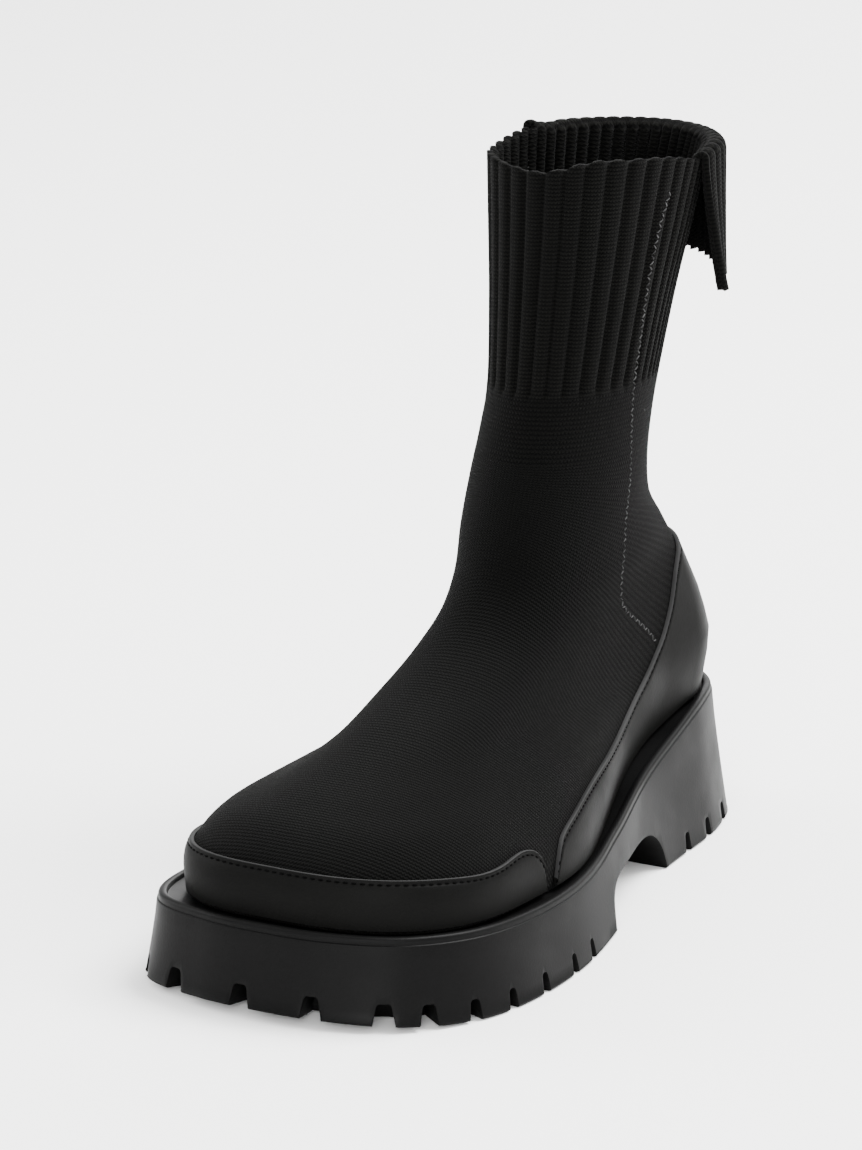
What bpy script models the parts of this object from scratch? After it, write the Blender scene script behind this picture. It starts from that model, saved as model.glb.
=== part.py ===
"""Knit ankle boot, left shoe: a ribbed sock upper with a fold-over back collar on a lugged unit sole.

Metres, +Z up. The toe points to -Y, the outer side of the foot is +X, and the origin lies on the
floor under the middle of the sole.
"""

import math

import bmesh
import bpy
from mathutils import Matrix, Vector

MM = 0.001

# Driving sizes, in millimetres
KNIT_WALL = 2.0
LEATHER = 1.4
SEAT_GAP = 0.3
RIB_COUNT = 48
RIB_RELIEF = 1.0
RIB_FADE = 8.0
FOLD_RADIUS = 2.2
FLAP_DROP = 40.5
FLAP_FLARE = 0.8
FLAP_TIP_DROP = 4.5
FLAP_TIP_FLARE = 3.0
FLAP_ROWS = 4
FOLD_STEPS = 4
CORNER_OUTER_DEG = 101.25
CORNER_INNER_DEG = 262.5
LIP_WIDTH = 2.5
LIP_HEIGHT = 1.5
STEP_BELOW_RIM = 2.2
STEP_OUT = 0.6
WALL_FLARE = 4.5
HEEL_FLARE = 6.5
HEEL_FLARE_FROM = 45.0
TOE_SPRING = 3.6
TOE_SPRING_FROM = -95.0
TOE_END = -141.0
NOTCH_WIDTH = 6.0
NOTCH_HEIGHT = 7.0
NOTCH_DEPTH = 13.0
NOTCH_TAPER = 0.64
NOTCH_MARGIN = 8.0
NOTCH_TOE_X = -8.0
NOTCH_HEEL_X = -4.0
INSOLE_THICK = 3.0
INSOLE_PLAY = 1.0

OUTLINE_STEPS = 42
FOOT_POINTS = 48
FOOT_RINGS = 18
CUFF_RINGS = 5

# Outer edge of the sole's rim, seen from above, from the toe round the outer side and back
RIM_OUTLINE = [
    # place, x, y
    ("toe tip", -1.0, -136.8),
    ("toe outer", 22.0, -134.0),
    ("toe outer corner", 44.0, -122.5),
    ("outer little toe", 58.5, -95.0),
    ("outer ball", 59.8, -50.0),
    ("outer waist", 48.5, 2.0),
    ("outer heel front", 37.3, 46.0),
    ("outer heel", 29.5, 98.0),
    ("outer heel back", 19.5, 121.0),
    ("heel back", -4.0, 131.0),
    ("inner heel back", -27.5, 121.0),
    ("inner heel", -37.0, 98.0),
    ("inner heel front", -36.0, 50.0),
    ("inner waist", -42.0, 4.0),
    ("inner ball", -52.5, -55.0),
    ("inner big toe", -54.8, -98.0),
    ("toe inner corner", -46.5, -124.5),
    ("toe inner", -24.0, -134.5),
]
HEEL_PLACE = 9

# Height of the rim's top edge above the floor along the shoe
RIM_HEIGHTS = [
    # y, z
    (-141.0, 30.0),
    (-100.0, 28.0),
    (-50.0, 26.2),
    (-20.0, 26.4),
    (0.0, 29.0),
    (20.0, 32.0),
    (45.0, 36.0),
    (70.0, 40.5),
    (95.0, 45.0),
    (135.0, 47.8),
]

# Underside of the waist between the forefoot and the heel breast
ARCH_PROFILE = [
    # y, z
    (-13.0, -3.0),
    (-11.5, 4.0),
    (-9.0, 11.0),
    (-2.0, 15.2),
    (14.0, 16.8),
    (30.0, 17.0),
    (42.0, 14.5),
    (50.0, 8.0),
    (54.0, -3.0),
]

# Distances between the notches along the tread's edge, from the toe and from the heel back
NOTCH_STEPS_TOE = (25.0, 21.5, 16.5, 15.5, 17.5, 18.0, 18.5, 17.5, 18.0, 18.0)
NOTCH_STEPS_HEEL = (16.8, 16.8, 16.8, 18.0, 17.5)

# The last: closed rings from the feather line at the sole up to the collar. The fronts and backs
# are points of the long profile; the ball and heel columns are half widths
LAST_COLUMNS = (
    "front_y", "front_z", "back_y", "back_z", "ball_outer", "ball_inner",
    "heel", "shift", "oval", "heel_oval", "follow",
)
LAST_RINGS = [
    # name, then the columns above
    ("feather", -129.0, 28.3, 124.5, 46.0, 54.5, 46.0, 28.7, 0.0, 0.0, 0.0, 1.0),
    ("rand", -127.8, 42.0, 126.0, 59.0, 54.0, 47.0, 30.5, 0.0, 0.0, 0.0, 0.9),
    ("toe crown", -118.5, 52.8, 125.5, 66.5, 46.0, 37.5, 31.3, 0.0, 0.08, 0.0, 0.8),
    ("toe top", -103.0, 58.8, 123.5, 73.0, 37.5, 29.5, 30.8, 0.0, 0.25, 0.05, 0.6),
    ("vamp low", -80.0, 64.5, 120.0, 80.5, 31.5, 26.5, 30.0, 0.0, 0.45, 0.1, 0.45),
    ("vamp", -55.0, 71.0, 115.5, 88.0, 29.0, 26.0, 29.3, 0.0, 0.6, 0.2, 0.3),
    ("vamp high", -30.0, 77.5, 111.0, 95.5, 28.0, 25.5, 29.0, 0.0, 0.7, 0.35, 0.2),
    ("instep", -7.0, 86.5, 106.5, 103.0, 28.0, 25.6, 28.8, 0.0, 0.8, 0.5, 0.1),
    ("throat low", 7.0, 99.0, 101.5, 110.5, 28.2, 26.6, 29.0, 0.0, 0.9, 0.7, 0.0),
    ("throat", 13.0, 115.0, 96.3, 120.0, 27.5, 27.2, 27.1, 0.2, 0.96, 0.88, 0.0),
    ("ankle", 18.5, 131.0, 95.0, 133.5, 26.7, 26.5, 26.5, 0.6, 1.0, 1.0, 0.0),
    ("shaft", 23.5, 146.0, 97.5, 147.5, 25.9, 25.6, 25.6, 1.2, 1.0, 1.0, 0.0),
    ("rib line", 26.5, 161.0, 101.5, 161.5, 26.0, 25.4, 25.4, 2.0, 1.0, 1.0, 0.0),
    ("cuff low", 27.4, 189.0, 107.0, 189.0, 28.6, 28.0, 28.0, 3.6, 1.0, 1.0, 0.0),
    ("cuff", 27.0, 213.0, 112.2, 212.0, 31.0, 31.0, 31.0, 5.2, 1.0, 1.0, 0.0),
    ("collar", 26.0, 236.0, 118.0, 234.0, 33.5, 33.5, 33.5, 6.5, 1.0, 1.0, 0.0),
]
RIB_LINE_LEVEL = 12.0
COLLAR_LEVEL = 15.0

# Long axis of the foot, and the places along a foot ring, as shares of its length
AXIS_X = [
    # y, x
    (-130.0, -1.0),
    (-50.0, -1.0),
    (50.0, -4.0),
    (130.0, -4.0),
]
TOE_AT = 0.215
OVAL_TURN = (0.3, 0.7)
BALL_AT_OUTER = 0.31
BALL_AT_INNER = 0.215
WAIST_AT_OUTER = 0.80
WAIST_AT_INNER = 0.74
HEEL_AT = 0.885
TOE_BLUNT_OUTER = 2.6
TOE_BLUNT_INNER = 3.2

# Leather edges: height above the floor at places along the shoe
RAND_TOP_OUTER = [
    # y, z
    (-129.0, 44.0),
    (-105.0, 42.7),
    (-85.0, 40.0),
    (-74.0, 39.2),
    (-66.0, 40.5),
    (-59.0, 41.0),
    (-53.0, 37.0),
    (-50.5, 30.0),
]
RAND_TOP_INNER = [
    # y, z
    (-129.0, 44.0),
    (-105.0, 43.0),
    (-85.0, 42.0),
    (-40.0, 46.0),
    (0.0, 52.0),
    (40.0, 62.0),
    (62.0, 72.0),
]
COUNTER_TOP_OUTER = [
    # y, z
    (-43.5, 28.0),
    (-41.5, 35.0),
    (-37.0, 39.5),
    (-6.0, 45.0),
    (29.0, 52.5),
    (55.0, 61.5),
    (72.0, 71.0),
    (82.0, 81.0),
    (90.0, 92.0),
    (99.0, 99.5),
    (108.0, 102.5),
]
COUNTER_TOP_INNER = [
    # y, z
    (62.5, 72.3),
    (72.0, 79.0),
    (82.0, 88.0),
    (90.0, 95.0),
    (99.0, 100.5),
    (108.0, 102.5),
]
OVERLAY_PITCH_DEG = 3.5
OVERLAY_GAP = 0.38
OVERLAY_FOOT_LEVEL = 0.1


def interpolate(rows, at):
    """Smooth curve through (place, value) rows, flat beyond its ends."""
    if at <= rows[0][0]:
        return rows[0][1]
    if at >= rows[-1][0]:
        return rows[-1][1]
    i = max(k for k in range(len(rows) - 1) if rows[k][0] <= at)
    (a, va), (b, vb) = rows[i], rows[i + 1]
    before = rows[i - 1] if i else (2 * a - b, 2 * va - vb)
    after = rows[i + 2] if i + 2 < len(rows) else (2 * b - a, 2 * vb - va)
    slope_a = (vb - before[1]) / (b - before[0])
    slope_b = (after[1] - va) / (after[0] - a)
    t = (at - a) / (b - a)
    span = b - a
    return (
        (2 * t**3 - 3 * t**2 + 1) * va + (t**3 - 2 * t**2 + t) * span * slope_a
        + (3 * t**2 - 2 * t**3) * vb + (t**3 - t**2) * span * slope_b
    )


def closed_curve(points, per_span=14):
    """Closed Catmull-Rom curve through 2D points."""
    count = len(points)
    curve = []
    for i in range(count):
        p0, p1, p2, p3 = (Vector(points[(i + k - 1) % count]) for k in range(4))
        for step in range(per_span):
            t = step / per_span
            curve.append(
                0.5 * (2 * p1 + (p2 - p0) * t + (2 * p0 - 5 * p1 + 4 * p2 - p3) * t**2
                       + (3 * p1 - p0 - 3 * p2 + p3) * t**3)
            )
    return curve


def spaced(line, steps):
    """Points at equal distances along a polyline, both ends included."""
    lengths = [0.0]
    for a, b in zip(line, line[1:]):
        lengths.append(lengths[-1] + (b - a).length)
    found, k = [], 0
    for i in range(steps + 1):
        want = lengths[-1] * i / steps
        while k < len(line) - 2 and lengths[k + 1] < want:
            k += 1
        t = (want - lengths[k]) / (lengths[k + 1] - lengths[k])
        found.append(line[k].lerp(line[k + 1], min(1.0, t)))
    return found


def rim_outline():
    """The rim's outline as a ring of 2D points: toe tip, outer side, heel back, inner side."""
    curve = closed_curve([(x, y) for _, x, y in RIM_OUTLINE])
    half = len(curve) * HEEL_PLACE // len(RIM_OUTLINE)
    outer = spaced(curve[: half + 1], OUTLINE_STEPS)
    inner = spaced(curve[half:] + curve[:1], OUTLINE_STEPS)
    return outer[:-1] + inner[:-1]


def outward(ring):
    """Unit normals of a 2D ring that runs anticlockwise from above."""
    count = len(ring)
    normals = []
    for i in range(count):
        along = ring[(i + 1) % count] - ring[i - 1]
        normals.append(Vector((along.y, -along.x)).normalized())
    return normals


def rim_height(y):
    return interpolate(RIM_HEIGHTS, y)


def shelf_height(y):
    """The ledge inside the rim's lip, where the upper sits."""
    return rim_height(y) - LIP_HEIGHT


def tread_height(y):
    """Underside of the sole, lifted at the toe."""
    reach = max(0.0, (TOE_SPRING_FROM - y) / (TOE_SPRING_FROM - TOE_END))
    return TOE_SPRING * reach**2


def ring_row(level):
    """The last's columns at a level between its rings."""
    return {
        column: interpolate([(i, row[k + 1]) for i, row in enumerate(LAST_RINGS)], level)
        for k, column in enumerate(LAST_COLUMNS)
    }


def foot_width(along, ball, heel, inner):
    """Half width of a foot ring at a share of its length: square toe, ball, waist, round heel."""
    blunt = TOE_BLUNT_INNER if inner else TOE_BLUNT_OUTER
    start = BALL_AT_INNER if inner else BALL_AT_OUTER
    end = WAIST_AT_INNER if inner else WAIST_AT_OUTER
    if along < TOE_AT:
        return ball * (1 - (1 - along / TOE_AT) ** blunt) ** (1 / blunt)
    if along > HEEL_AT:
        return heel * max(0.0, 1 - ((along - HEEL_AT) / (1 - HEEL_AT)) ** 2) ** 0.5
    t = min(1.0, max(0.0, (along - start) / (end - start)))
    return ball + (heel - ball) * (3 * t**2 - 2 * t**3)


def last_point(level, angle):
    """Point on the last, in millimetres; angle in degrees from the toe over the outer side."""
    row = ring_row(level)
    turn = math.radians(angle % 360)
    along = (1 - math.cos(turn)) / 2
    inner = math.sin(turn) < 0
    ball = row["ball_inner"] if inner else row["ball_outer"]
    foot = foot_width(along, ball, row["heel"], inner)
    t = min(1.0, max(0.0, (along - OVAL_TURN[0]) / (OVAL_TURN[1] - OVAL_TURN[0])))
    rear = 3 * t**2 - 2 * t**3
    oval = row["oval"] + (row["heel_oval"] - row["oval"]) * rear
    half = ball + (row["heel"] - ball) * rear
    width = (1 - oval) * foot + oval * half * abs(math.sin(turn))
    y = row["front_y"] + (row["back_y"] - row["front_y"]) * along
    x = interpolate(AXIS_X, y) + row["shift"] + (-width if inner else width)
    low, high = shelf_height(row["front_y"]), shelf_height(row["back_y"])
    followed = (shelf_height(y) - low) / (high - low)
    rise = row["follow"] * followed + (1 - row["follow"]) * along
    return Vector((x, y, row["front_z"] + (row["back_z"] - row["front_z"]) * rise + SEAT_GAP))


def last_normal(level, angle):
    """Unit normal of the last, pointing out."""
    step = 0.05
    low = max(0.0, level - step)
    up = last_point(min(COLLAR_LEVEL, level + step), angle) - last_point(low, angle)
    round_ = last_point(level, angle + 1) - last_point(level, angle - 1)
    return round_.cross(up).normalized()


def angle_at(y, inner):
    """Angle of the feather line's point at this place along the shoe."""
    row = ring_row(0.0)
    along = (y - row["front_y"]) / (row["back_y"] - row["front_y"])
    angle = math.degrees(math.acos(1 - 2 * min(1.0, max(0.0, along))))
    return 360.0 - angle if inner else angle


def level_under(angle, top_rows):
    """The level at which the wall reaches a leather edge, given as heights along the shoe."""
    low, high = 0.0, RIB_LINE_LEVEL
    for _ in range(24):
        middle = (low + high) / 2
        point = last_point(middle, angle)
        if point.z < interpolate(top_rows, point.y):
            low = middle
        else:
            high = middle
    return low


def mesh_object(name, vertices, faces, collection, closed=True):
    """New object from millimetre points; the faces of a closed one are turned out."""
    mesh = bpy.data.meshes.new(name)
    mesh.from_pydata([tuple(v * MM) for v in vertices], [], faces)
    obj = bpy.data.objects.new(name, mesh)
    collection.objects.link(obj)
    if closed:
        work = bmesh.new()
        work.from_mesh(mesh)
        bmesh.ops.recalc_face_normals(work, faces=work.faces)
        work.to_mesh(mesh)
        work.free()
    return obj


def bridge(first, second, closed):
    """Quads between two index rows of equal length."""
    count = len(first)
    return [
        (first[i], first[(i + 1) % count], second[(i + 1) % count], second[i])
        for i in range(count if closed else count - 1)
    ]


def ladder(ring):
    """Faces across a ring, pairing its outer side with its inner side."""
    count = len(ring)
    faces = [(ring[0], ring[1], ring[-1])]
    for i in range(1, count // 2 - 1):
        faces.append((ring[i], ring[i + 1], ring[count - i - 1], ring[count - i]))
    middle = count // 2
    faces.append((ring[middle - 1], ring[middle], ring[middle + 1]))
    return faces


def stacked(name, rings, collection):
    """Closed solid from rings of equal count, with a ladder across the first and the last."""
    count = len(rings[0])
    vertices = [p for ring in rings for p in ring]
    index = [list(range(k * count, (k + 1) * count)) for k in range(len(rings))]
    faces = ladder(index[0]) + ladder(index[-1])
    for low, high in zip(index, index[1:]):
        faces += bridge(low, high, closed=True)
    return mesh_object(name, vertices, faces, collection)


def material(name, colour, roughness):
    made = bpy.data.materials.new(name)
    made.use_nodes = True
    shader = made.node_tree.nodes["Principled BSDF"]
    shader.inputs["Base Color"].default_value = (*colour, 1.0)
    shader.inputs["Roughness"].default_value = roughness
    shader.inputs["Metallic"].default_value = 0.0
    return made


def add_cut(obj, cutter):
    cutter.hide_render = True
    cutter.display_type = "WIRE"
    cut = obj.modifiers.new("cut_" + cutter.name, "BOOLEAN")
    cut.operation = "DIFFERENCE"
    cut.solver = "EXACT"
    cut.object = cutter


def add_wall(obj, thickness, offset):
    wall = obj.modifiers.new("wall", "SOLIDIFY")
    wall.thickness = thickness * MM
    wall.offset = offset
    wall.use_even_offset = True
    wall.use_rim = True


def arch_cutter(collection):
    """Prism across the shoe with the waist's underside as its profile."""
    reach = 90.0
    profile = []
    for i in range(len(ARCH_PROFILE) * 2 - 1):
        place = i / 2
        y = interpolate([(k, row[0]) for k, row in enumerate(ARCH_PROFILE)], place)
        z = interpolate([(k, row[1]) for k, row in enumerate(ARCH_PROFILE)], place)
        profile.append((y, z))
    count = len(profile)
    vertices = [Vector((side * reach, y, z)) for side in (-1, 1) for y, z in profile]
    left, right = list(range(count)), list(range(count, 2 * count))
    faces = bridge(left, right, closed=True) + [tuple(left), tuple(reversed(right))]
    return mesh_object("arch_cutter", vertices, faces, collection)


def walk(ring, start, steps, direction):
    """Places along a ring at the given distances from a starting point, with their directions."""
    count = len(ring)
    normals = outward(ring)
    places, here, spot = [], start, ring[start]
    for step in steps:
        left = step
        ahead = ring[(here + direction) % count]
        while (ahead - spot).length < left:
            left -= (ahead - spot).length
            spot, here = ahead, (here + direction) % count
            ahead = ring[(here + direction) % count]
        spot = spot.lerp(ahead, left / (ahead - spot).length)
        places.append((spot, normals[here].lerp(normals[(here + direction) % count], 0.5)))
    return places


def notch_places(ring):
    """Foot of each notch: a point on the tread's edge and its outward direction."""
    count = len(ring)
    toe = min(range(count), key=lambda i: (ring[i] - Vector((NOTCH_TOE_X, TOE_END))).length)
    heel = min(range(count), key=lambda i: (ring[i] - Vector((NOTCH_HEEL_X, -TOE_END))).length)
    normals = outward(ring)
    places = [(ring[toe], normals[toe]), (ring[heel], normals[heel])]
    for direction in (1, -1):
        places += walk(ring, toe, NOTCH_STEPS_TOE, direction)
        places += walk(ring, heel, NOTCH_STEPS_HEEL, direction)
    front, back = ARCH_PROFILE[0][0] - NOTCH_MARGIN, ARCH_PROFILE[-1][0] + NOTCH_MARGIN
    return [(p, n.normalized()) for p, n in places if p.y < front or p.y > back]


def notch_cutter(ring, collection):
    """All the notches along the tread's edge, as wedges that narrow upwards."""
    work = bmesh.new()
    for spot, normal in notch_places(ring):
        made = bmesh.ops.create_cube(work, size=1.0)["verts"]
        side = Vector((-normal.y, normal.x))
        base = tread_height(spot.y)
        for vertex in made:
            narrow = NOTCH_TAPER if vertex.co.z > 0 else 1.0
            across = side * (vertex.co.x * NOTCH_WIDTH * narrow)
            inward = normal * (4.0 if vertex.co.y > 0 else -NOTCH_DEPTH)
            lift = base + NOTCH_HEIGHT if vertex.co.z > 0 else base - 6.0
            flat = spot + across + inward
            vertex.co = Vector((flat.x, flat.y, lift)) * MM
    bmesh.ops.recalc_face_normals(work, faces=work.faces)
    mesh = bpy.data.meshes.new("notch_cutter")
    work.to_mesh(mesh)
    work.free()
    obj = bpy.data.objects.new("notch_cutter", mesh)
    collection.objects.link(obj)
    return obj


def wall_flare(y):
    """How far the tread's edge stands out from the rim."""
    t = min(1.0, max(0.0, (y - HEEL_FLARE_FROM) / (TOE_END * -0.7 - HEEL_FLARE_FROM)))
    return WALL_FLARE + (HEEL_FLARE - WALL_FLARE) * (3 * t**2 - 2 * t**3)


def tread_outline():
    """Edge of the sole's underside, seen from above."""
    rim = rim_outline()
    return [p + n * wall_flare(p.y) for p, n in zip(rim, outward(rim))]


def floor_centre():
    """Middle of the sole's length and width, on the floor."""
    xs, ys = zip(*tread_outline())
    return Vector((min(xs) + max(xs), min(ys) + max(ys), 0.0)) / 2


def build_sole(parts, cutters):
    """Rubber unit: flared wall, step, lip and ledge, cut by the arch and the edge notches."""
    rim = rim_outline()
    normals = outward(rim)

    def ring(offset, height):
        return [Vector((*(p + n * offset), height(p.y))) for p, n in zip(rim, normals)]

    tread = tread_outline()
    step = STEP_BELOW_RIM
    rings = [
        [Vector((p.x, p.y, tread_height(p.y))) for p in tread],
        ring(STEP_OUT, lambda y: rim_height(y) - step - STEP_OUT),
        ring(0.0, lambda y: rim_height(y) - step),
        ring(0.0, lambda y: rim_height(y) - 0.7),
        ring(-0.7, rim_height),
        ring(-LIP_WIDTH, rim_height),
        ring(-LIP_WIDTH - 0.6, shelf_height),
    ]
    sole = stacked("sole", rings, parts)
    add_cut(sole, arch_cutter(cutters))
    add_cut(sole, notch_cutter(tread, cutters))
    return sole


def rib_relief(place, height_in_cuff):
    """How far the wall sinks at a point of the cuff: crowns at even points, grooves at odd ones."""
    if place % 2 == 0:
        return 0.0
    return RIB_RELIEF * min(1.0, height_in_cuff / RIB_FADE)


def cuff_rings():
    """Ribbed rings from the rib line to the collar."""
    count = 2 * RIB_COUNT
    rings = []
    for k in range(CUFF_RINGS + 1):
        level = RIB_LINE_LEVEL + (COLLAR_LEVEL - RIB_LINE_LEVEL) * k / CUFF_RINGS
        ring = []
        for i in range(count):
            angle = 360.0 * i / count
            point = last_point(level, angle)
            climbed = point.z - last_point(RIB_LINE_LEVEL, angle).z
            ring.append(point - last_normal(level, angle) * rib_relief(i, climbed))
        rings.append(ring)
    return rings


def flap_rows(collar):
    """The back of the collar turned over outwards: rows from the fold down to the free edge."""
    count = len(collar)
    first = round(CORNER_OUTER_DEG / 360 * count)
    last = round(CORNER_INNER_DEG / 360 * count)
    span = range(first, last + 1)
    middle = (first + last) / 2
    rows = []
    for step in range(1, FOLD_STEPS + FLAP_ROWS + 1):
        row = []
        for i in span:
            normal = last_normal(COLLAR_LEVEL, 360.0 * i / count)
            out = Vector((normal.x, normal.y, 0.0)).normalized()
            tip = (abs(i - middle) / (last - middle)) ** 4
            if step <= FOLD_STEPS:
                turn = math.pi * step / FOLD_STEPS
                away = FOLD_RADIUS * (1 - math.cos(turn))
                lift = FOLD_RADIUS * math.sin(turn)
            else:
                share = (step - FOLD_STEPS) / FLAP_ROWS
                away = 2 * FOLD_RADIUS + share * (FLAP_FLARE + tip * FLAP_TIP_FLARE)
                lift = -share * (FLAP_DROP + tip * FLAP_TIP_DROP)
            row.append(collar[i] + out * away + Vector((0.0, 0.0, lift)))
        rows.append(row)
    return list(span), rows


def build_upper(parts):
    """Knit sock: foot, ribbed cuff and folded back collar as one wall."""
    vertices, faces = [], []

    def add(points):
        start = len(vertices)
        vertices.extend(points)
        return list(range(start, start + len(points)))

    previous = None
    for k in range(FOOT_RINGS):
        level = RIB_LINE_LEVEL * k / FOOT_RINGS
        here = add([last_point(level, 360.0 * i / FOOT_POINTS) for i in range(FOOT_POINTS)])
        if previous:
            faces += bridge(previous, here, closed=True)
        previous = here
    cuff = [add(ring) for ring in cuff_rings()]
    for i in range(FOOT_POINTS):
        after = (i + 1) % FOOT_POINTS
        start, middle, end = cuff[0][2 * i], cuff[0][2 * i + 1], cuff[0][2 * after]
        faces += [(previous[i], middle, start), (previous[i], previous[after], middle)]
        faces.append((previous[after], end, middle))
    for low, high in zip(cuff, cuff[1:]):
        faces += bridge(low, high, closed=True)
    span, rows = flap_rows([vertices[i] for i in cuff[-1]])
    below = [cuff[-1][i] for i in span]
    for row in rows:
        here = add(row)
        faces += bridge(below, here, closed=False)
        below = here
    upper = mesh_object("knit_upper", vertices, faces, parts, closed=False)
    add_wall(upper, KNIT_WALL, -1.0)
    return upper


def overlay(name, edges, first_deg, last_deg, rows, parts):
    """Leather panel laid on the upper from the feather line up to its top edge."""
    columns = round((last_deg - first_deg) / OVERLAY_PITCH_DEG)
    width = columns + 1
    index = [list(range(k * width, (k + 1) * width)) for k in range(rows + 1)]
    grid = [[] for _ in index]
    for j in range(width):
        angle = first_deg + (last_deg - first_deg) * j / columns
        outer = math.sin(math.radians(angle)) >= 0
        top = level_under(angle, edges[0] if outer else edges[1])
        for k, row in enumerate(grid):
            level = OVERLAY_FOOT_LEVEL + (top - OVERLAY_FOOT_LEVEL) * k / rows
            row.append(last_point(level, angle) + last_normal(level, angle) * OVERLAY_GAP)
    faces = []
    for low, high in zip(index, index[1:]):
        faces += bridge(low, high, closed=False)
    panel = mesh_object(name, [p for row in grid for p in row], faces, parts, closed=False)
    add_wall(panel, LEATHER, 1.0)
    return panel


def build_rand(parts):
    """Band round the toe, short on the outer side and running back to the counter on the inner."""
    first = angle_at(RAND_TOP_INNER[-1][0], inner=True) - 360.0
    last = angle_at(RAND_TOP_OUTER[-1][0], inner=False)
    return overlay("toe_rand", (RAND_TOP_OUTER, RAND_TOP_INNER), first, last, 4, parts)


def build_counter(parts):
    """Panel round the heel, running forward to a point on the outer side."""
    first = angle_at(COUNTER_TOP_OUTER[0][0], inner=False)
    last = angle_at(COUNTER_TOP_INNER[0][0], inner=True)
    return overlay("heel_counter", (COUNTER_TOP_OUTER, COUNTER_TOP_INNER), first, last, 7, parts)


def build_insole(parts):
    """Footbed inside the upper, on the sole's shelf."""
    inset = KNIT_WALL + INSOLE_PLAY
    count = 2 * OUTLINE_STEPS
    flat = [last_point(0.0, 360.0 * i / count) for i in range(count)]
    normals = outward([p.xy for p in flat])
    rings = []
    for height in (SEAT_GAP, SEAT_GAP + INSOLE_THICK):
        ring = []
        for point, normal in zip(flat, normals):
            place = point.xy - normal * inset
            ring.append(Vector((place.x, place.y, shelf_height(place.y) + height)))
        rings.append(ring)
    return stacked("insole", rings, parts)


def main():
    for obj in list(bpy.data.objects):
        bpy.data.objects.remove(obj)
    parts = bpy.data.collections.new("knit_ankle_boot")
    cutters = bpy.data.collections.new("cutters")
    for collection in (parts, cutters):
        bpy.context.scene.collection.children.link(collection)
    knit = material("knit", (0.012, 0.012, 0.013), 0.9)
    leather = material("leather", (0.016, 0.016, 0.017), 0.5)
    rubber = material("rubber", (0.018, 0.018, 0.018), 0.55)
    lining = material("lining", (0.02, 0.02, 0.02), 0.8)
    pieces = [
        (build_sole(parts, cutters), rubber),
        (build_insole(parts), lining),
        (build_upper(parts), knit),
        (build_rand(parts), leather),
        (build_counter(parts), leather),
    ]
    for obj, finish in pieces:
        obj.data.materials.append(finish)
        obj.data.shade_smooth()
        obj.data.set_sharp_from_angle(angle=math.radians(35))
    to_origin = Matrix.Translation(-floor_centre() * MM)
    for obj in list(parts.objects) + list(cutters.objects):
        obj.data.transform(to_origin)


main()
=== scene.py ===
"""Knit ankle boot, left shoe: fine knit, leather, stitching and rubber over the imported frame.

Sizes are in millimetres in the last's own coordinates: toe to -Y, outer side +X, floor at zero.
"""

from __future__ import annotations

import logging
import math
from dataclasses import dataclass, field
from enum import Enum

import bmesh
import bpy
import numpy as np
from mathutils import Matrix, Vector


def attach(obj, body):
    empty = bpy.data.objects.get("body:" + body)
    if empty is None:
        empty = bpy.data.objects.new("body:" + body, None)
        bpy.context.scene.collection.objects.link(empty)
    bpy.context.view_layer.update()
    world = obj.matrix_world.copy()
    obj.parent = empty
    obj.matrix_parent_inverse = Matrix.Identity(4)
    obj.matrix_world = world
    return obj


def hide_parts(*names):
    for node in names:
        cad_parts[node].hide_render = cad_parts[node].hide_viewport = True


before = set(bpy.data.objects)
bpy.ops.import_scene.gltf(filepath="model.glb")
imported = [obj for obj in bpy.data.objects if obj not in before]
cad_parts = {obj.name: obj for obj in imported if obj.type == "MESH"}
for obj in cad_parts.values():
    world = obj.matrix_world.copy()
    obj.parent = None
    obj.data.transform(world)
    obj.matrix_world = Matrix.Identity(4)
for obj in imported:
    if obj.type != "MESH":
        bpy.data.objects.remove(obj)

LOG = logging.getLogger("knit_boot")
MM = 0.001
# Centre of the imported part's box on the floor, in the last's own coordinates.
FLOOR_CENTRE = np.array((2.81, -1.90, 0.0))
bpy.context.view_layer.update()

Rows = tuple[tuple[float, float], ...]
Tone = tuple[float, float, float]
Material = bpy.types.Material
Node = bpy.types.Node
Piece = bpy.types.Object
Socket = bpy.types.NodeSocket
Tree = bpy.types.NodeTree


class Side(Enum):
    """The two sides of the foot."""

    OUTER = "outer"
    INNER = "inner"


# Top edges of the leather panels on each side: place along the shoe and height.
RAND_EDGE: dict[Side, Rows] = {
    Side.OUTER: (
        (-129.0, 45.4), (-108.0, 43.8), (-95.0, 42.5), (-88.0, 42.2), (-82.0, 42.4), (-76.0, 42.9),
        (-71.0, 43.1), (-66.5, 42.6), (-63.0, 41.3), (-60.3, 38.8), (-58.5, 35.4), (-57.4, 31.0),
        (-57.0, 27.5),
    ),
    Side.INNER: (
        (-129.0, 45.4), (-105.0, 44.0), (-85.0, 42.8), (-40.0, 46.0), (0.0, 52.0), (40.0, 62.0),
        (62.0, 72.0),
    ),
}
COUNTER_EDGE: dict[Side, Rows] = {
    Side.OUTER: (
        (-50.5, 27.5), (-49.8, 33.0), (-48.2, 37.5), (-44.5, 41.0), (-30.0, 44.4), (-10.0, 47.6),
        (29.0, 52.7), (55.0, 61.5), (72.0, 71.0), (82.0, 81.0), (90.0, 92.0), (99.0, 99.5),
        (108.0, 102.5),
    ),
    Side.INNER: (
        (62.5, 72.3), (72.0, 79.0), (82.0, 88.0), (90.0, 95.0), (99.0, 100.5), (108.0, 102.5),
    ),
}
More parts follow.
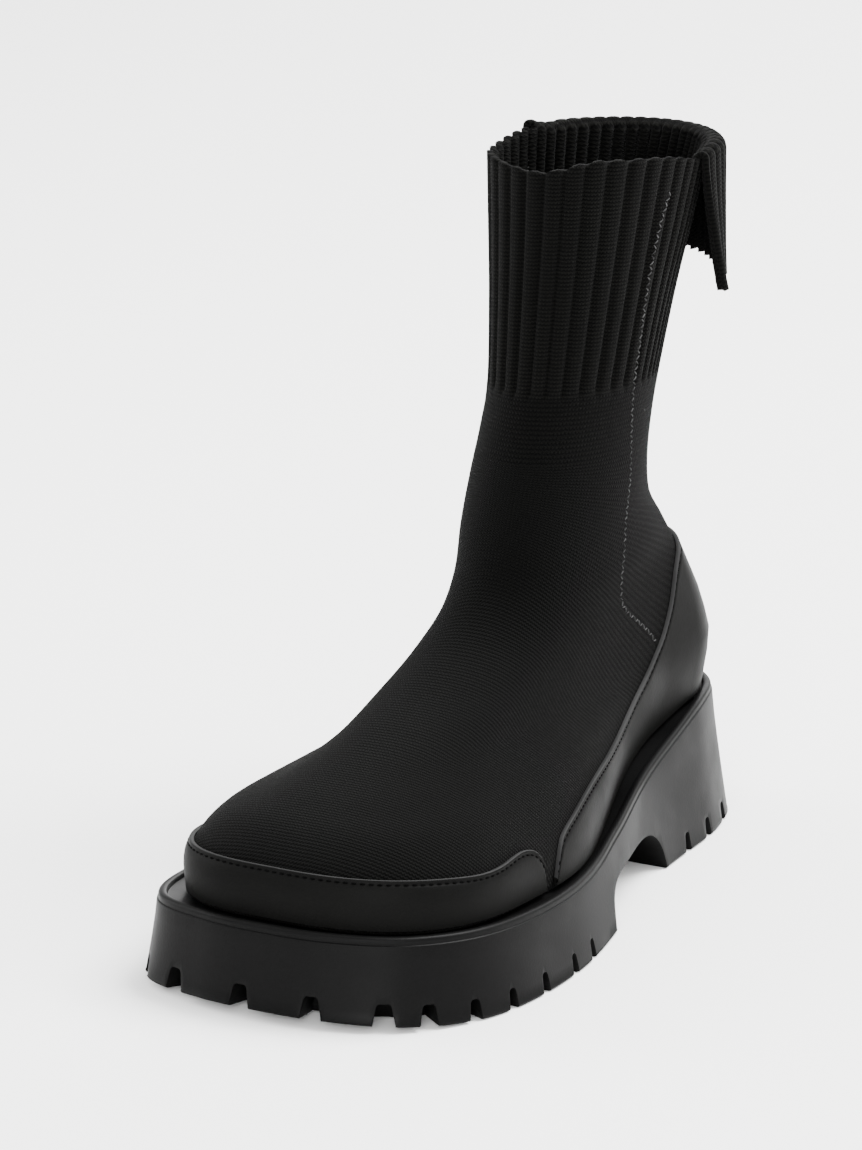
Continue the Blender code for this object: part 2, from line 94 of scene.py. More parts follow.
# Seams of the knit: level on the last and angle from the toe.
SEAM_PATH: Rows = (
    (3.4, 121.5), (4.15, 117.0), (4.95, 110.0), (5.8, 101.0), (6.5, 93.5), (7.2, 88.0), (7.8, 85.5),
    (8.3, 86.0), (8.95, 88.5), (9.9, 91.0), (10.9, 87.0), (12.0, 81.5), (12.5, 79.5), (13.05, 77.0),
    (13.6, 76.0), (14.2, 77.0), (14.7, 80.0),
)
TAPE_PATH: Rows = ((12.2, 98.0), (14.9, 102.5))


def grey(level: float) -> Tone:
    """A neutral tone."""
    return (level, level, level)


def ease(share: np.ndarray) -> np.ndarray:
    """A share from nought to one with a slow start and a slow end."""
    return 3 * share**2 - 2 * share**3


def lengths_along(line: np.ndarray) -> np.ndarray:
    """Distance of each point of a line from its start, along the line."""
    steps = np.linalg.norm(np.diff(line, axis=0), axis=1)
    return np.concatenate([[0.0], np.cumsum(steps)])


def interpolate(rows: Rows, at: float) -> float:
    """Smooth curve through (place, value) rows, flat beyond its ends.

    Args:
        rows: Places and values, in order of place.
        at: The place wanted.

    Returns:
        The value there.
    """
    if at <= rows[0][0]:
        return rows[0][1]
    if at >= rows[-1][0]:
        return rows[-1][1]
    i = max(k for k in range(len(rows) - 1) if rows[k][0] <= at)
    (a, va), (b, vb) = rows[i], rows[i + 1]
    before = rows[i - 1] if i else (2 * a - b, 2 * va - vb)
    after = rows[i + 2] if i + 2 < len(rows) else (2 * b - a, 2 * vb - va)
    slope_a = (vb - before[1]) / (b - before[0])
    slope_b = (after[1] - va) / (after[0] - a)
    t, span = (at - a) / (b - a), b - a
    return (
        (2 * t**3 - 3 * t**2 + 1) * va + (t**3 - 2 * t**2 + t) * span * slope_a
        + (3 * t**2 - 2 * t**3) * vb + (t**3 - t**2) * span * slope_b
    )


@dataclass
class Last:
    """The foot form that the upper is knitted over, as rings from the feather line to the collar."""

    seat_gap: float = 0.3
    lip_height: float = 1.5
    rib_line: float = 12.0
    collar: float = 15.0
    toe_at: float = 0.215
    oval_turn: tuple[float, float] = (0.3, 0.7)
    ball_at: dict[Side, float] = field(default_factory=lambda: {Side.OUTER: 0.31, Side.INNER: 0.215})
    waist_at: dict[Side, float] = field(default_factory=lambda: {Side.OUTER: 0.80, Side.INNER: 0.74})
    blunt: dict[Side, float] = field(default_factory=lambda: {Side.OUTER: 2.6, Side.INNER: 3.2})
    heel_at: float = 0.885
    reach: float = 145.0
    samples: int = 581
    level_step: float = 0.05
    angle_step: float = 1.0
    halvings: int = 20
    axis_x: Rows = ((-130.0, -1.0), (-50.0, -1.0), (50.0, -4.0), (130.0, -4.0))
    rim_heights: Rows = (
        (-141.0, 30.0), (-100.0, 28.0), (-50.0, 26.2), (-20.0, 26.4), (0.0, 29.0),
        (20.0, 32.0), (45.0, 36.0), (70.0, 40.5), (95.0, 45.0), (135.0, 47.8),
    )
    columns: tuple[str, ...] = (
        "front_y", "front_z", "back_y", "back_z", "ball_outer", "ball_inner",
        "heel", "shift", "oval", "heel_oval", "follow",
    )
    # Rings from the feather line up, in the order of the columns.
    rings: tuple[tuple[float, ...], ...] = (
        (-129.0, 28.3, 124.5, 46.0, 54.5, 46.0, 28.7, 0.0, 0.0, 0.0, 1.0),
        (-127.8, 42.0, 126.0, 59.0, 54.0, 47.0, 30.5, 0.0, 0.0, 0.0, 0.9),
        (-118.5, 52.8, 125.5, 66.5, 46.0, 41.0, 31.3, 0.0, 0.04, 0.0, 0.8),
        (-103.0, 58.8, 123.5, 73.0, 37.5, 31.0, 30.8, 0.0, 0.25, 0.05, 0.6),
        (-80.0, 64.5, 120.0, 80.5, 31.5, 26.5, 30.0, 0.0, 0.45, 0.1, 0.45),
        (-55.0, 71.0, 115.5, 88.0, 29.0, 26.0, 29.3, 0.0, 0.6, 0.2, 0.3),
        (-30.0, 77.5, 111.0, 95.5, 28.0, 25.5, 29.0, 0.0, 0.7, 0.35, 0.2),
        (-7.0, 86.5, 106.5, 103.0, 28.0, 25.6, 28.8, 0.0, 0.8, 0.5, 0.1),
        (7.0, 99.0, 101.5, 110.5, 28.2, 26.6, 29.0, 0.0, 0.9, 0.7, 0.0),
        (13.0, 115.0, 96.3, 120.0, 27.5, 27.2, 27.1, 0.2, 0.96, 0.88, 0.0),
        (18.5, 131.0, 95.0, 133.5, 26.7, 26.5, 26.5, 0.6, 1.0, 1.0, 0.0),
        (23.5, 146.0, 97.5, 147.5, 25.9, 25.6, 25.6, 1.2, 1.0, 1.0, 0.0),
        (26.5, 161.0, 101.5, 161.5, 26.0, 25.4, 25.4, 2.0, 1.0, 1.0, 0.0),
        (27.4, 189.0, 107.0, 189.0, 28.6, 28.0, 28.0, 3.6, 1.0, 1.0, 0.0),
        (27.0, 213.0, 112.2, 212.0, 31.0, 31.0, 31.0, 5.2, 1.0, 1.0, 0.0),
        (26.0, 236.0, 118.0, 234.0, 33.5, 33.5, 33.5, 6.5, 1.0, 1.0, 0.0),
    )

    def __post_init__(self) -> None:
        """Keeps the curves along the foot as dense tables for whole rings at a time."""
        self.ys = np.linspace(-self.reach, self.reach, self.samples)
        self.shelves = np.array([interpolate(self.rim_heights, y) for y in self.ys]) - self.lip_height
        self.axes = np.array([interpolate(self.axis_x, y) for y in self.ys])
        self.known: dict[float, dict[str, float]] = {}

    def row(self, level: float) -> dict[str, float]:
        """The last's columns at a level between its rings.

        Args:
            level: Level between the rings of the table.

        Returns:
            Values by the names of the columns.
        """
        key = round(level, 4)
        if key not in self.known:
            self.known[key] = {
                name: interpolate(tuple((i, r[k]) for i, r in enumerate(self.rings)), key)
                for k, name in enumerate(self.columns)
            }
        return self.known[key]

    def shelf(self, y: np.ndarray | float) -> np.ndarray:
        """Height of the sole's ledge along the shoe."""
        return np.interp(y, self.ys, self.shelves)

    def foot_width(self, along: np.ndarray, ball: float, heel: float, side: Side) -> np.ndarray:
        """Half width of a foot ring.

        Args:
            along: Shares of the ring's length from the toe.
            ball: Half width at the ball.
            heel: Half width at the heel.
            side: Side of the foot.

        Returns:
            Half widths at those shares.
        """
        blunt, start, end = self.blunt[side], self.ball_at[side], self.waist_at[side]
        t = np.clip((along - start) / (end - start), 0, 1)
        width = ball + (heel - ball) * ease(t)
        toe = np.clip(1 - along / self.toe_at, 0, 1)
        width = np.where(along < self.toe_at, ball * (1 - toe**blunt) ** (1 / blunt), width)
        back = np.clip((along - self.heel_at) / (1 - self.heel_at), 0, 1)
        return np.where(along > self.heel_at, heel * np.sqrt(1 - back**2), width)

    def ring(self, level: float, angles: np.ndarray) -> np.ndarray:
        """Points of one ring.

        Args:
            level: Level between the rings of the table.
            angles: Degrees from the toe over the outer side.

        Returns:
            One point a row, in millimetres.
        """
        row = self.row(level)
        turn = np.radians(np.asarray(angles, dtype=float))
        along = (1 - np.cos(turn)) / 2
        widths = {
            side: self.foot_width(along, row[f"ball_{side.value}"], row["heel"], side) for side in Side
        }
        inner = np.sin(turn) < 0
        ball = np.where(inner, row["ball_inner"], row["ball_outer"])
        foot = np.where(inner, widths[Side.INNER], widths[Side.OUTER])
        t = np.clip((along - self.oval_turn[0]) / (self.oval_turn[1] - self.oval_turn[0]), 0, 1)
        rear = ease(t)
        oval = row["oval"] + (row["heel_oval"] - row["oval"]) * rear
        half = ball + (row["heel"] - ball) * rear
        width = (1 - oval) * foot + oval * half * np.abs(np.sin(turn))
        y = row["front_y"] + (row["back_y"] - row["front_y"]) * along
        x = np.interp(y, self.ys, self.axes) + row["shift"] + np.where(inner, -width, width)
        low, high = self.shelf(row["front_y"]), self.shelf(row["back_y"])
        followed = (self.shelf(y) - low) / (high - low)
        rise = row["follow"] * followed + (1 - row["follow"]) * along
        z = row["front_z"] + (row["back_z"] - row["front_z"]) * rise + self.seat_gap
        return np.stack([x, y, z], axis=-1)

    def spread(self, level: float, angles: np.ndarray) -> np.ndarray:
        """Angles bunched towards the toe, so that points lie evenly round a square-toed ring.

        Args:
            level: Level of the ring.
            angles: Degrees from the toe over the outer side.

        Returns:
            The angles to use on that ring.
        """
        signed = (np.asarray(angles, dtype=float) + 180.0) % 360.0 - 180.0
        blunt = np.where(signed < 0, self.blunt[Side.INNER], self.blunt[Side.OUTER])
        power = 1 + (blunt / 2 - 1) * (1 - self.row(level)["oval"])
        return np.sign(signed) * 180.0 * (np.abs(signed) / 180.0) ** power

    def point(self, level: float, angle: float) -> np.ndarray:
        """One point of the last."""
        return self.ring(level, np.array([angle]))[0]

    def normal(self, level: float, angle: float) -> np.ndarray:
        """Unit normal of the last, pointing out.

        Args:
            level: Level on the last.
            angle: Degrees from the toe over the outer side.

        Returns:
            The normal.
        """
        low, high = max(0.0, level - self.level_step), min(self.collar, level + self.level_step)
        around = self.ring(level, np.array([angle - self.angle_step, angle + self.angle_step]))
        out = np.cross(around[1] - around[0], self.point(high, angle) - self.point(low, angle))
        return out / np.linalg.norm(out)

    def angle_at(self, y: float, side: Side) -> float:
        """Angle of the feather line's point at a place along the shoe.

        Args:
            y: Place along the shoe.
            side: Side of the foot.

        Returns:
            Degrees from the toe over the outer side.
        """
        row = self.row(0.0)
        along = (y - row["front_y"]) / (row["back_y"] - row["front_y"])
        angle = math.degrees(math.acos(1 - 2 * min(1.0, max(0.0, along))))
        return 360.0 - angle if side is Side.INNER else angle

    def level_under(self, angle: float, edge: Rows) -> float:
        """The level at which the wall reaches an edge.

        Args:
            angle: Degrees from the toe over the outer side.
            edge: Heights of the edge along the shoe.

        Returns:
            The level.
        """
        low, high = 0.0, self.rib_line
        for _ in range(self.halvings):
            middle = (low + high) / 2
            here = self.point(middle, angle)
            low, high = (middle, high) if here[2] < interpolate(edge, here[1]) else (low, middle)
        return low


@dataclass
class Builder:
    """Collects points, faces and surface coordinates of one piece."""

    points: list[np.ndarray] = field(default_factory=list)
    faces: list[tuple[int, ...]] = field(default_factory=list)
    coords: list[tuple[float, float]] = field(default_factory=list)
    slots: list[int] = field(default_factory=list)

    def add(self, points: np.ndarray, coords: np.ndarray | None = None) -> list[int]:
        """Adds points.

        Args:
            points: One point a row.
            coords: Surface coordinates of the same points.

        Returns:
            Their indices.
        """
        start = len(self.points)
        self.points.extend(points)
        self.coords.extend(coords if coords is not None else np.zeros((len(points), 2)))
        return list(range(start, start + len(points)))

    def face(self, corners: tuple[int, ...], slot: int = 0) -> None:
        """Adds one face."""
        self.faces.append(corners)
        self.slots.append(slot)

    def bridge(self, low: list[int], high: list[int], closed: bool, slot: int = 0) -> None:
        """Quads between two index rows of equal length.

        Args:
            low: The one row.
            high: The other row.
            closed: Whether the rows close to rings.
            slot: The quads' material slot.
        """
        count = len(low)
        for i in range(count if closed else count - 1):
            j = (i + 1) % count
            self.face((low[i], low[j], high[j], high[i]), slot)

    def cap(self, rings: list[list[int]]) -> None:
        """Closes the first and the last ring of a run with one face each."""
        self.face(tuple(reversed(rings[0])))
        self.face(tuple(rings[-1]))

    def tube(self, rings: list[list[int]]) -> None:
        """A closed body through rings in order.

        Args:
            rings: Indices of each ring.
        """
        for near, far in zip(rings, rings[1:]):
            self.bridge(near, far, closed=True)
        self.cap(rings)

    def make(self, name: str, finishes: list[Material]) -> Piece:
        """Makes the object.

        Args:
            name: The piece's name.
            finishes: Materials in slot order.

        Returns:
            The new object, in the row's frame.
        """
        mesh = bpy.data.meshes.new(name)
        mesh.from_pydata([tuple((p - FLOOR_CENTRE) * MM) for p in self.points], [], self.faces)
        for finish in finishes:
            mesh.materials.append(finish)
        mesh.polygons.foreach_set("material_index", self.slots)
        layer = mesh.uv_layers.new(name="surface")
        corner = np.zeros(len(mesh.loops), dtype=np.int32)
        mesh.loops.foreach_get("vertex_index", corner)
        layer.data.foreach_set("uv", np.asarray(self.coords, dtype=np.float32)[corner].ravel())
        mesh.shade_smooth()
        mesh.update()
        obj = bpy.data.objects.new(name, mesh)
        bpy.context.scene.collection.objects.link(obj)
        return obj


class Shade:
    """Short hand for laying out nodes in a material or a node group."""

    def __init__(self, tree: Tree) -> None:
        """Keeps the tree that nodes are added to."""
        self.tree = tree

    def node(self, kind: str, **settings: object) -> Node:
        """Adds a node.

        Args:
            kind: The node's type.
            **settings: Properties to set on it.

        Returns:
            The new node.
        """
        made = self.tree.nodes.new(kind)
        for name, value in settings.items():
            setattr(made, name, value)
        return made

    def feed(self, socket: Socket, value: object) -> None:
        """Links a socket into an input, or sets the input's own value.

        Args:
            socket: The input.
            value: A socket or a plain value.
        """
        if isinstance(value, Socket):
            self.tree.links.new(value, socket)
        else:
            socket.default_value = value

    def math(self, operation: str, a: object, b: object = 0.0) -> Socket:
        """Works out two values with one Math node.

        Args:
            operation: What the node does.
            a: The first socket or number.
            b: The second.

        Returns:
            The result.
        """
        made = self.node("ShaderNodeMath", operation=operation)
        self.feed(made.inputs[0], a)
        self.feed(made.inputs[1], b)
        return made.outputs[0]

    def smooth(self, value: object, low: float, high: float, to: tuple[float, float] = (0.0, 1.0)) -> Socket:
        """Maps a value smoothly from one range to another.

        Args:
            value: A socket.
            low: Start of its range.
            high: End of its range.
            to: The range it is mapped to.

        Returns:
            The mapped value.
        """
        made = self.node("ShaderNodeMapRange", interpolation_type="SMOOTHSTEP")
        for i, given in enumerate((value, low, high, *to)):
            self.feed(made.inputs[i], given)
        return made.outputs[0]

    def noise(self, vector: object, scale: object, detail: float = 3.0) -> Socket:
        """Noise over a vector.

        Args:
            vector: Where the noise is read.
            scale: How fine it is, as a socket or a number.
            detail: How many finer layers it has.

        Returns:
            The noise as a value.
        """
        made = self.node("ShaderNodeTexNoise")
        self.feed(made.inputs["Vector"], vector)
        self.feed(made.inputs["Scale"], scale)
        made.inputs["Detail"].default_value = detail
        return made.outputs["Fac"]

    def mix(self, factor: object, a: object, b: object) -> Socket:
        """Mixes two colours.

        Args:
            factor: Share of the second colour.
            a: The first colour.
            b: The second colour.

        Returns:
            The mixed colour.
        """
        made = self.node("ShaderNodeMix", data_type="RGBA")
        self.feed(made.inputs["Factor"], factor)
        self.feed(made.inputs["A"], a)
        self.feed(made.inputs["B"], b)
        return made.outputs["Result"]


class Effects:
    """Shader groups that several finishes share."""

    def __init__(self) -> None:
        """Builds each group once."""
        self.weave = self._weave()
        self.grain = self._grain()
        self.lint = self._lint()

    @staticmethod
    def _group(name: str, inputs: dict[str, float], outputs: tuple[str, ...]) -> tuple[Shade, Node, Node]:
        """A new group with number sockets.

        Args:
            name: The group's name.
            inputs: Socket names and their usual values.
            outputs: Socket names.

        Returns:
            The group's shade, its input node and its output node.
        """
        tree = bpy.data.node_groups.new(name, "ShaderNodeTree")
        for socket, usual in inputs.items():
            made = tree.interface.new_socket(socket, in_out="INPUT", socket_type="NodeSocketFloat")
            made.default_value = usual
        for socket in outputs:
            tree.interface.new_socket(socket, in_out="OUTPUT", socket_type="NodeSocketFloat")
        shade = Shade(tree)
        return shade, shade.node("NodeGroupInput"), shade.node("NodeGroupOutput")

    def _weave(self) -> Tree:
        """Knitted courses and wales from the piece's surface coordinates, in millimetres.

        Returns:
            The group.
        """
        shade, given, result = self._group(
            "knit_weave", {"Course": 1.5, "Wale": 1.25, "Wander": 0.35}, ("Height",)
        )
        place = shade.node("ShaderNodeUVMap", uv_map="surface").outputs["UV"]
        split = shade.node("ShaderNodeSeparateXYZ")
        shade.feed(split.inputs[0], place)
        drift = shade.math("SUBTRACT", shade.noise(place, 0.16, 2.0), 0.5)
        wander = shade.math("MULTIPLY", drift, given.outputs["Wander"])
        along = shade.math("ADD", shade.math("DIVIDE", split.outputs["Y"], given.outputs["Course"]), wander)
        across = shade.math("DIVIDE", split.outputs["X"], given.outputs["Wale"])
        leg = shade.math("ABSOLUTE", shade.math("SINE", shade.math("MULTIPLY", across, math.pi)))
        lifted = shade.math("ADD", along, shade.math("MULTIPLY", leg, 0.3))
        course = shade.math("SINE", shade.math("MULTIPLY", lifted, 2 * math.pi))
        rounded = shade.smooth(course, -0.9, 0.8)
        uneven = shade.smooth(shade.noise(place, 1.1, 2.0), 0.3, 0.7, (0.75, 1.0))
        loops = shade.math("MULTIPLY", rounded, shade.math("ADD", shade.math("MULTIPLY", leg, 0.5), 0.5))
        shade.feed(result.inputs["Height"], shade.math("MULTIPLY", loops, uneven))
        return shade.tree

    def _grain(self) -> Tree:
        """Fine pebbling with slow changes of tone, over the object's own coordinates.

        Returns:
            The group.
        """
        shade, given, result = self._group(
            "fine_grain", {"Pebbles": 900.0, "Clouds": 28.0}, ("Height", "Tone")
        )
        place = shade.node("ShaderNodeTexCoord").outputs["Object"]
        cells = shade.node("ShaderNodeTexVoronoi", feature="SMOOTH_F1")
        shade.feed(cells.inputs["Vector"], place)
        shade.feed(cells.inputs["Scale"], given.outputs["Pebbles"])
        pores = shade.noise(place, shade.math("MULTIPLY", given.outputs["Pebbles"], 2.3), 2.0)
        pebbled = shade.math("MULTIPLY", cells.outputs["Distance"], -0.7)
        height = shade.math("ADD", pebbled, shade.math("MULTIPLY", pores, 0.5))
        clouds = shade.noise(place, given.outputs["Clouds"], 4.0)
        shade.feed(result.inputs["Height"], height)
        shade.feed(result.inputs["Tone"], shade.smooth(clouds, 0.3, 0.7))
        return shade.tree

    def _lint(self) -> Tree:
        """A few pale specks of lint and dust.

        Returns:
            The group.
        """
        shade, given, result = self._group("lint", {"Density": 95.0, "Amount": 0.3}, ("Mask",))
        place = shade.node("ShaderNodeTexCoord").outputs["Object"]
        cells = shade.node("ShaderNodeTexVoronoi", feature="F1")
        shade.feed(cells.inputs["Vector"], place)
        shade.feed(cells.inputs["Scale"], given.outputs["Density"])
        dot = shade.smooth(cells.outputs["Distance"], 0.012, 0.05, (1.0, 0.0))
        rare = shade.math("GREATER_THAN", cells.outputs["Color"], 0.86)
        specks = shade.math("MULTIPLY", dot, rare)
        shade.feed(result.inputs["Mask"], shade.math("MULTIPLY", specks, given.outputs["Amount"]))
        return shade.tree

    @staticmethod
    def place(shade: Shade, tree: Tree, **values: float) -> Node:
        """Places a group in a material with its own values.

        Args:
            shade: The material's shade.
            tree: The group.
            **values: Values of the group's inputs.

        Returns:
            The group's node.
        """
        made = shade.node("ShaderNodeGroup", node_tree=tree)
        for name, value in values.items():
            made.inputs[name].default_value = value
        return made


@dataclass(frozen=True)
class Finish:
    """What every finish has: a name, a dark and a light tone, and its roughness."""

    name: str
    dark: tuple[float, float, float]
    light: tuple[float, float, float]
    roughness: float

    def start(self) -> tuple[Material, Shade, Node]:
        """A new material with its shader.

        Returns:
            The material, its shade and its Principled shader.
        """
        made = bpy.data.materials.new(self.name)
        made.use_nodes = True
        shader = made.node_tree.nodes["Principled BSDF"]
        shader.inputs["Roughness"].default_value = self.roughness
        return made, Shade(made.node_tree), shader

    def tones(self, shade: Shade, share: object) -> Socket:
        """The finish's colour, from its dark to its light tone."""
        return shade.mix(share, (*self.dark, 1.0), (*self.light, 1.0))

    @staticmethod
    def bump(shade: Shade, shader: Node, height: Socket, distance: float) -> None:
        """Feeds a height in as a bump.

        Args:
            shade: The material's shade.
            shader: Its Principled shader.
            height: The height socket.
            distance: Depth of the relief in metres.
        """
        made = shade.node("ShaderNodeBump")
        made.inputs["Distance"].default_value = distance
        made.inputs["Strength"].default_value = 1.0
        shade.feed(made.inputs["Height"], height)
        shade.feed(shader.inputs["Normal"], made.outputs["Normal"])


@dataclass(frozen=True)
class KnitFinish(Finish):
    """Matte stretch knit in fine courses."""

    course: float = 1.5
    wale: float = 1.25
    relief: float = 0.00035
    speck: Tone = grey(0.12)

    def make(self, effects: Effects) -> Material:
        """Builds the material.

        Args:
            effects: The shared shader groups.

        Returns:
            The material.
        """
        made, shade, shader = self.start()
        weave = effects.place(shade, effects.weave, Course=self.course, Wale=self.wale)
        grain = effects.place(shade, effects.grain, Pebbles=1500.0, Clouds=22.0)
        lint = effects.place(shade, effects.lint, Density=85.0, Amount=0.25)
        clouds = shade.smooth(grain.outputs["Tone"], 0.0, 1.0, (0.72, 1.0))
        # Painted shade: the yarn's colour follows the weave's height, darker in the hollows between the loops
        # and lighter on their crowns.
        yarn_with_painted_shade = self.tones(shade, shade.math("MULTIPLY", weave.outputs["Height"], clouds))
        dusty = shade.mix(lint.outputs["Mask"], yarn_with_painted_shade, (*self.speck, 1.0))
        shade.feed(shader.inputs["Base Color"], dusty)
        shader.inputs["Specular IOR Level"].default_value = 0.03
        shader.inputs["Sheen Weight"].default_value = 0.01
        shader.inputs["Sheen Roughness"].default_value = 0.6
        fuzz = shade.math("MULTIPLY", grain.outputs["Height"], 0.15)
        self.bump(shade, shader, shade.math("ADD", weave.outputs["Height"], fuzz), self.relief)
        return made


@dataclass(frozen=True)
class SmoothFinish(Finish):
    """Smooth leather or moulded rubber: fine grain, clouds of tone and a little lint."""

    pebbles: float = 900.0
    relief: float = 0.00004
    polish: float = 0.06
    lint: float = 0.2
    gloss: float = 0.1
    speck: Tone = grey(0.2)

    def make(self, effects: Effects) -> Material:
        """Builds the material.

        Args:
            effects: The shared shader groups.

        Returns:
            The material.
        """
        made, shade, shader = self.start()
        shader.inputs["Specular IOR Level"].default_value = self.gloss
        grain = effects.place(shade, effects.grain, Pebbles=self.pebbles, Clouds=26.0)
        lint = effects.place(shade, effects.lint, Density=70.0, Amount=self.lint)
        tone = self.tones(shade, grain.outputs["Tone"])
        dusty = shade.mix(lint.outputs["Mask"], tone, (*self.speck, 1.0))
        shade.feed(shader.inputs["Base Color"], dusty)
        low, high = self.roughness - self.polish, self.roughness + self.polish
        worn = shade.smooth(grain.outputs["Tone"], 0.0, 1.0, (low, high))
        shade.feed(shader.inputs["Roughness"], worn)
        self.bump(shade, shader, grain.outputs["Height"], self.relief)
        return made


@dataclass(frozen=True)
class ThreadFinish(Finish):
    """Sewing thread with a twist of tone."""

    relief: float = 0.00008

    def make(self, effects: Effects) -> Material:
        """Builds the material.

        Args:
            effects: The shared shader groups.

        Returns:
            The material.
        """
        made, shade, shader = self.start()
        shader.inputs["Specular IOR Level"].default_value = 0.03
        grain = effects.place(shade, effects.grain, Pebbles=2600.0, Clouds=400.0)
        shade.feed(shader.inputs["Base Color"], self.tones(shade, grain.outputs["Tone"]))
        self.bump(shade, shader, grain.outputs["Height"], self.relief)
        return made


@dataclass
class Finishes:
    """All the boot's finishes."""

    effects: Effects

    def __post_init__(self) -> None:
        """Makes each material once."""
        effects = self.effects
        self.knit = KnitFinish("black_knit", grey(0.0003), (0.0018, 0.0018, 0.0015), 0.95).make(effects)
        self.rib = KnitFinish(
            "black_rib_knit", grey(0.0003), (0.0034, 0.0034, 0.0029), 0.95,
            course=1.3, wale=1.1, relief=0.00022,
        ).make(effects)
        self.leather = SmoothFinish(
            "black_leather", (0.0018, 0.0018, 0.0017), (0.0028, 0.0028, 0.0026), 0.54, gloss=0.028
        ).make(effects)
        self.edge = SmoothFinish(
            "leather_cut_edge", grey(0.009), grey(0.017), 0.7,
            pebbles=1600.0, relief=0.00006, polish=0.05, lint=0.0,
        ).make(effects)
        self.rubber = SmoothFinish(
            "black_rubber", grey(0.0009), grey(0.0014), 0.48,
            pebbles=1300.0, relief=0.00003, polish=0.05, lint=0.3, gloss=0.055,
        ).make(effects)
        self.footbed = KnitFinish(
            "footbed_cloth", grey(0.006), grey(0.02), 0.9, course=0.8, wale=0.8, relief=0.0001
        ).make(effects)
        self.dark_thread = ThreadFinish("black_thread", grey(0.0001), grey(0.0004), 0.9).make(effects)
        self.grey_thread = ThreadFinish("grey_thread", grey(0.014), grey(0.05), 0.9).make(effects)


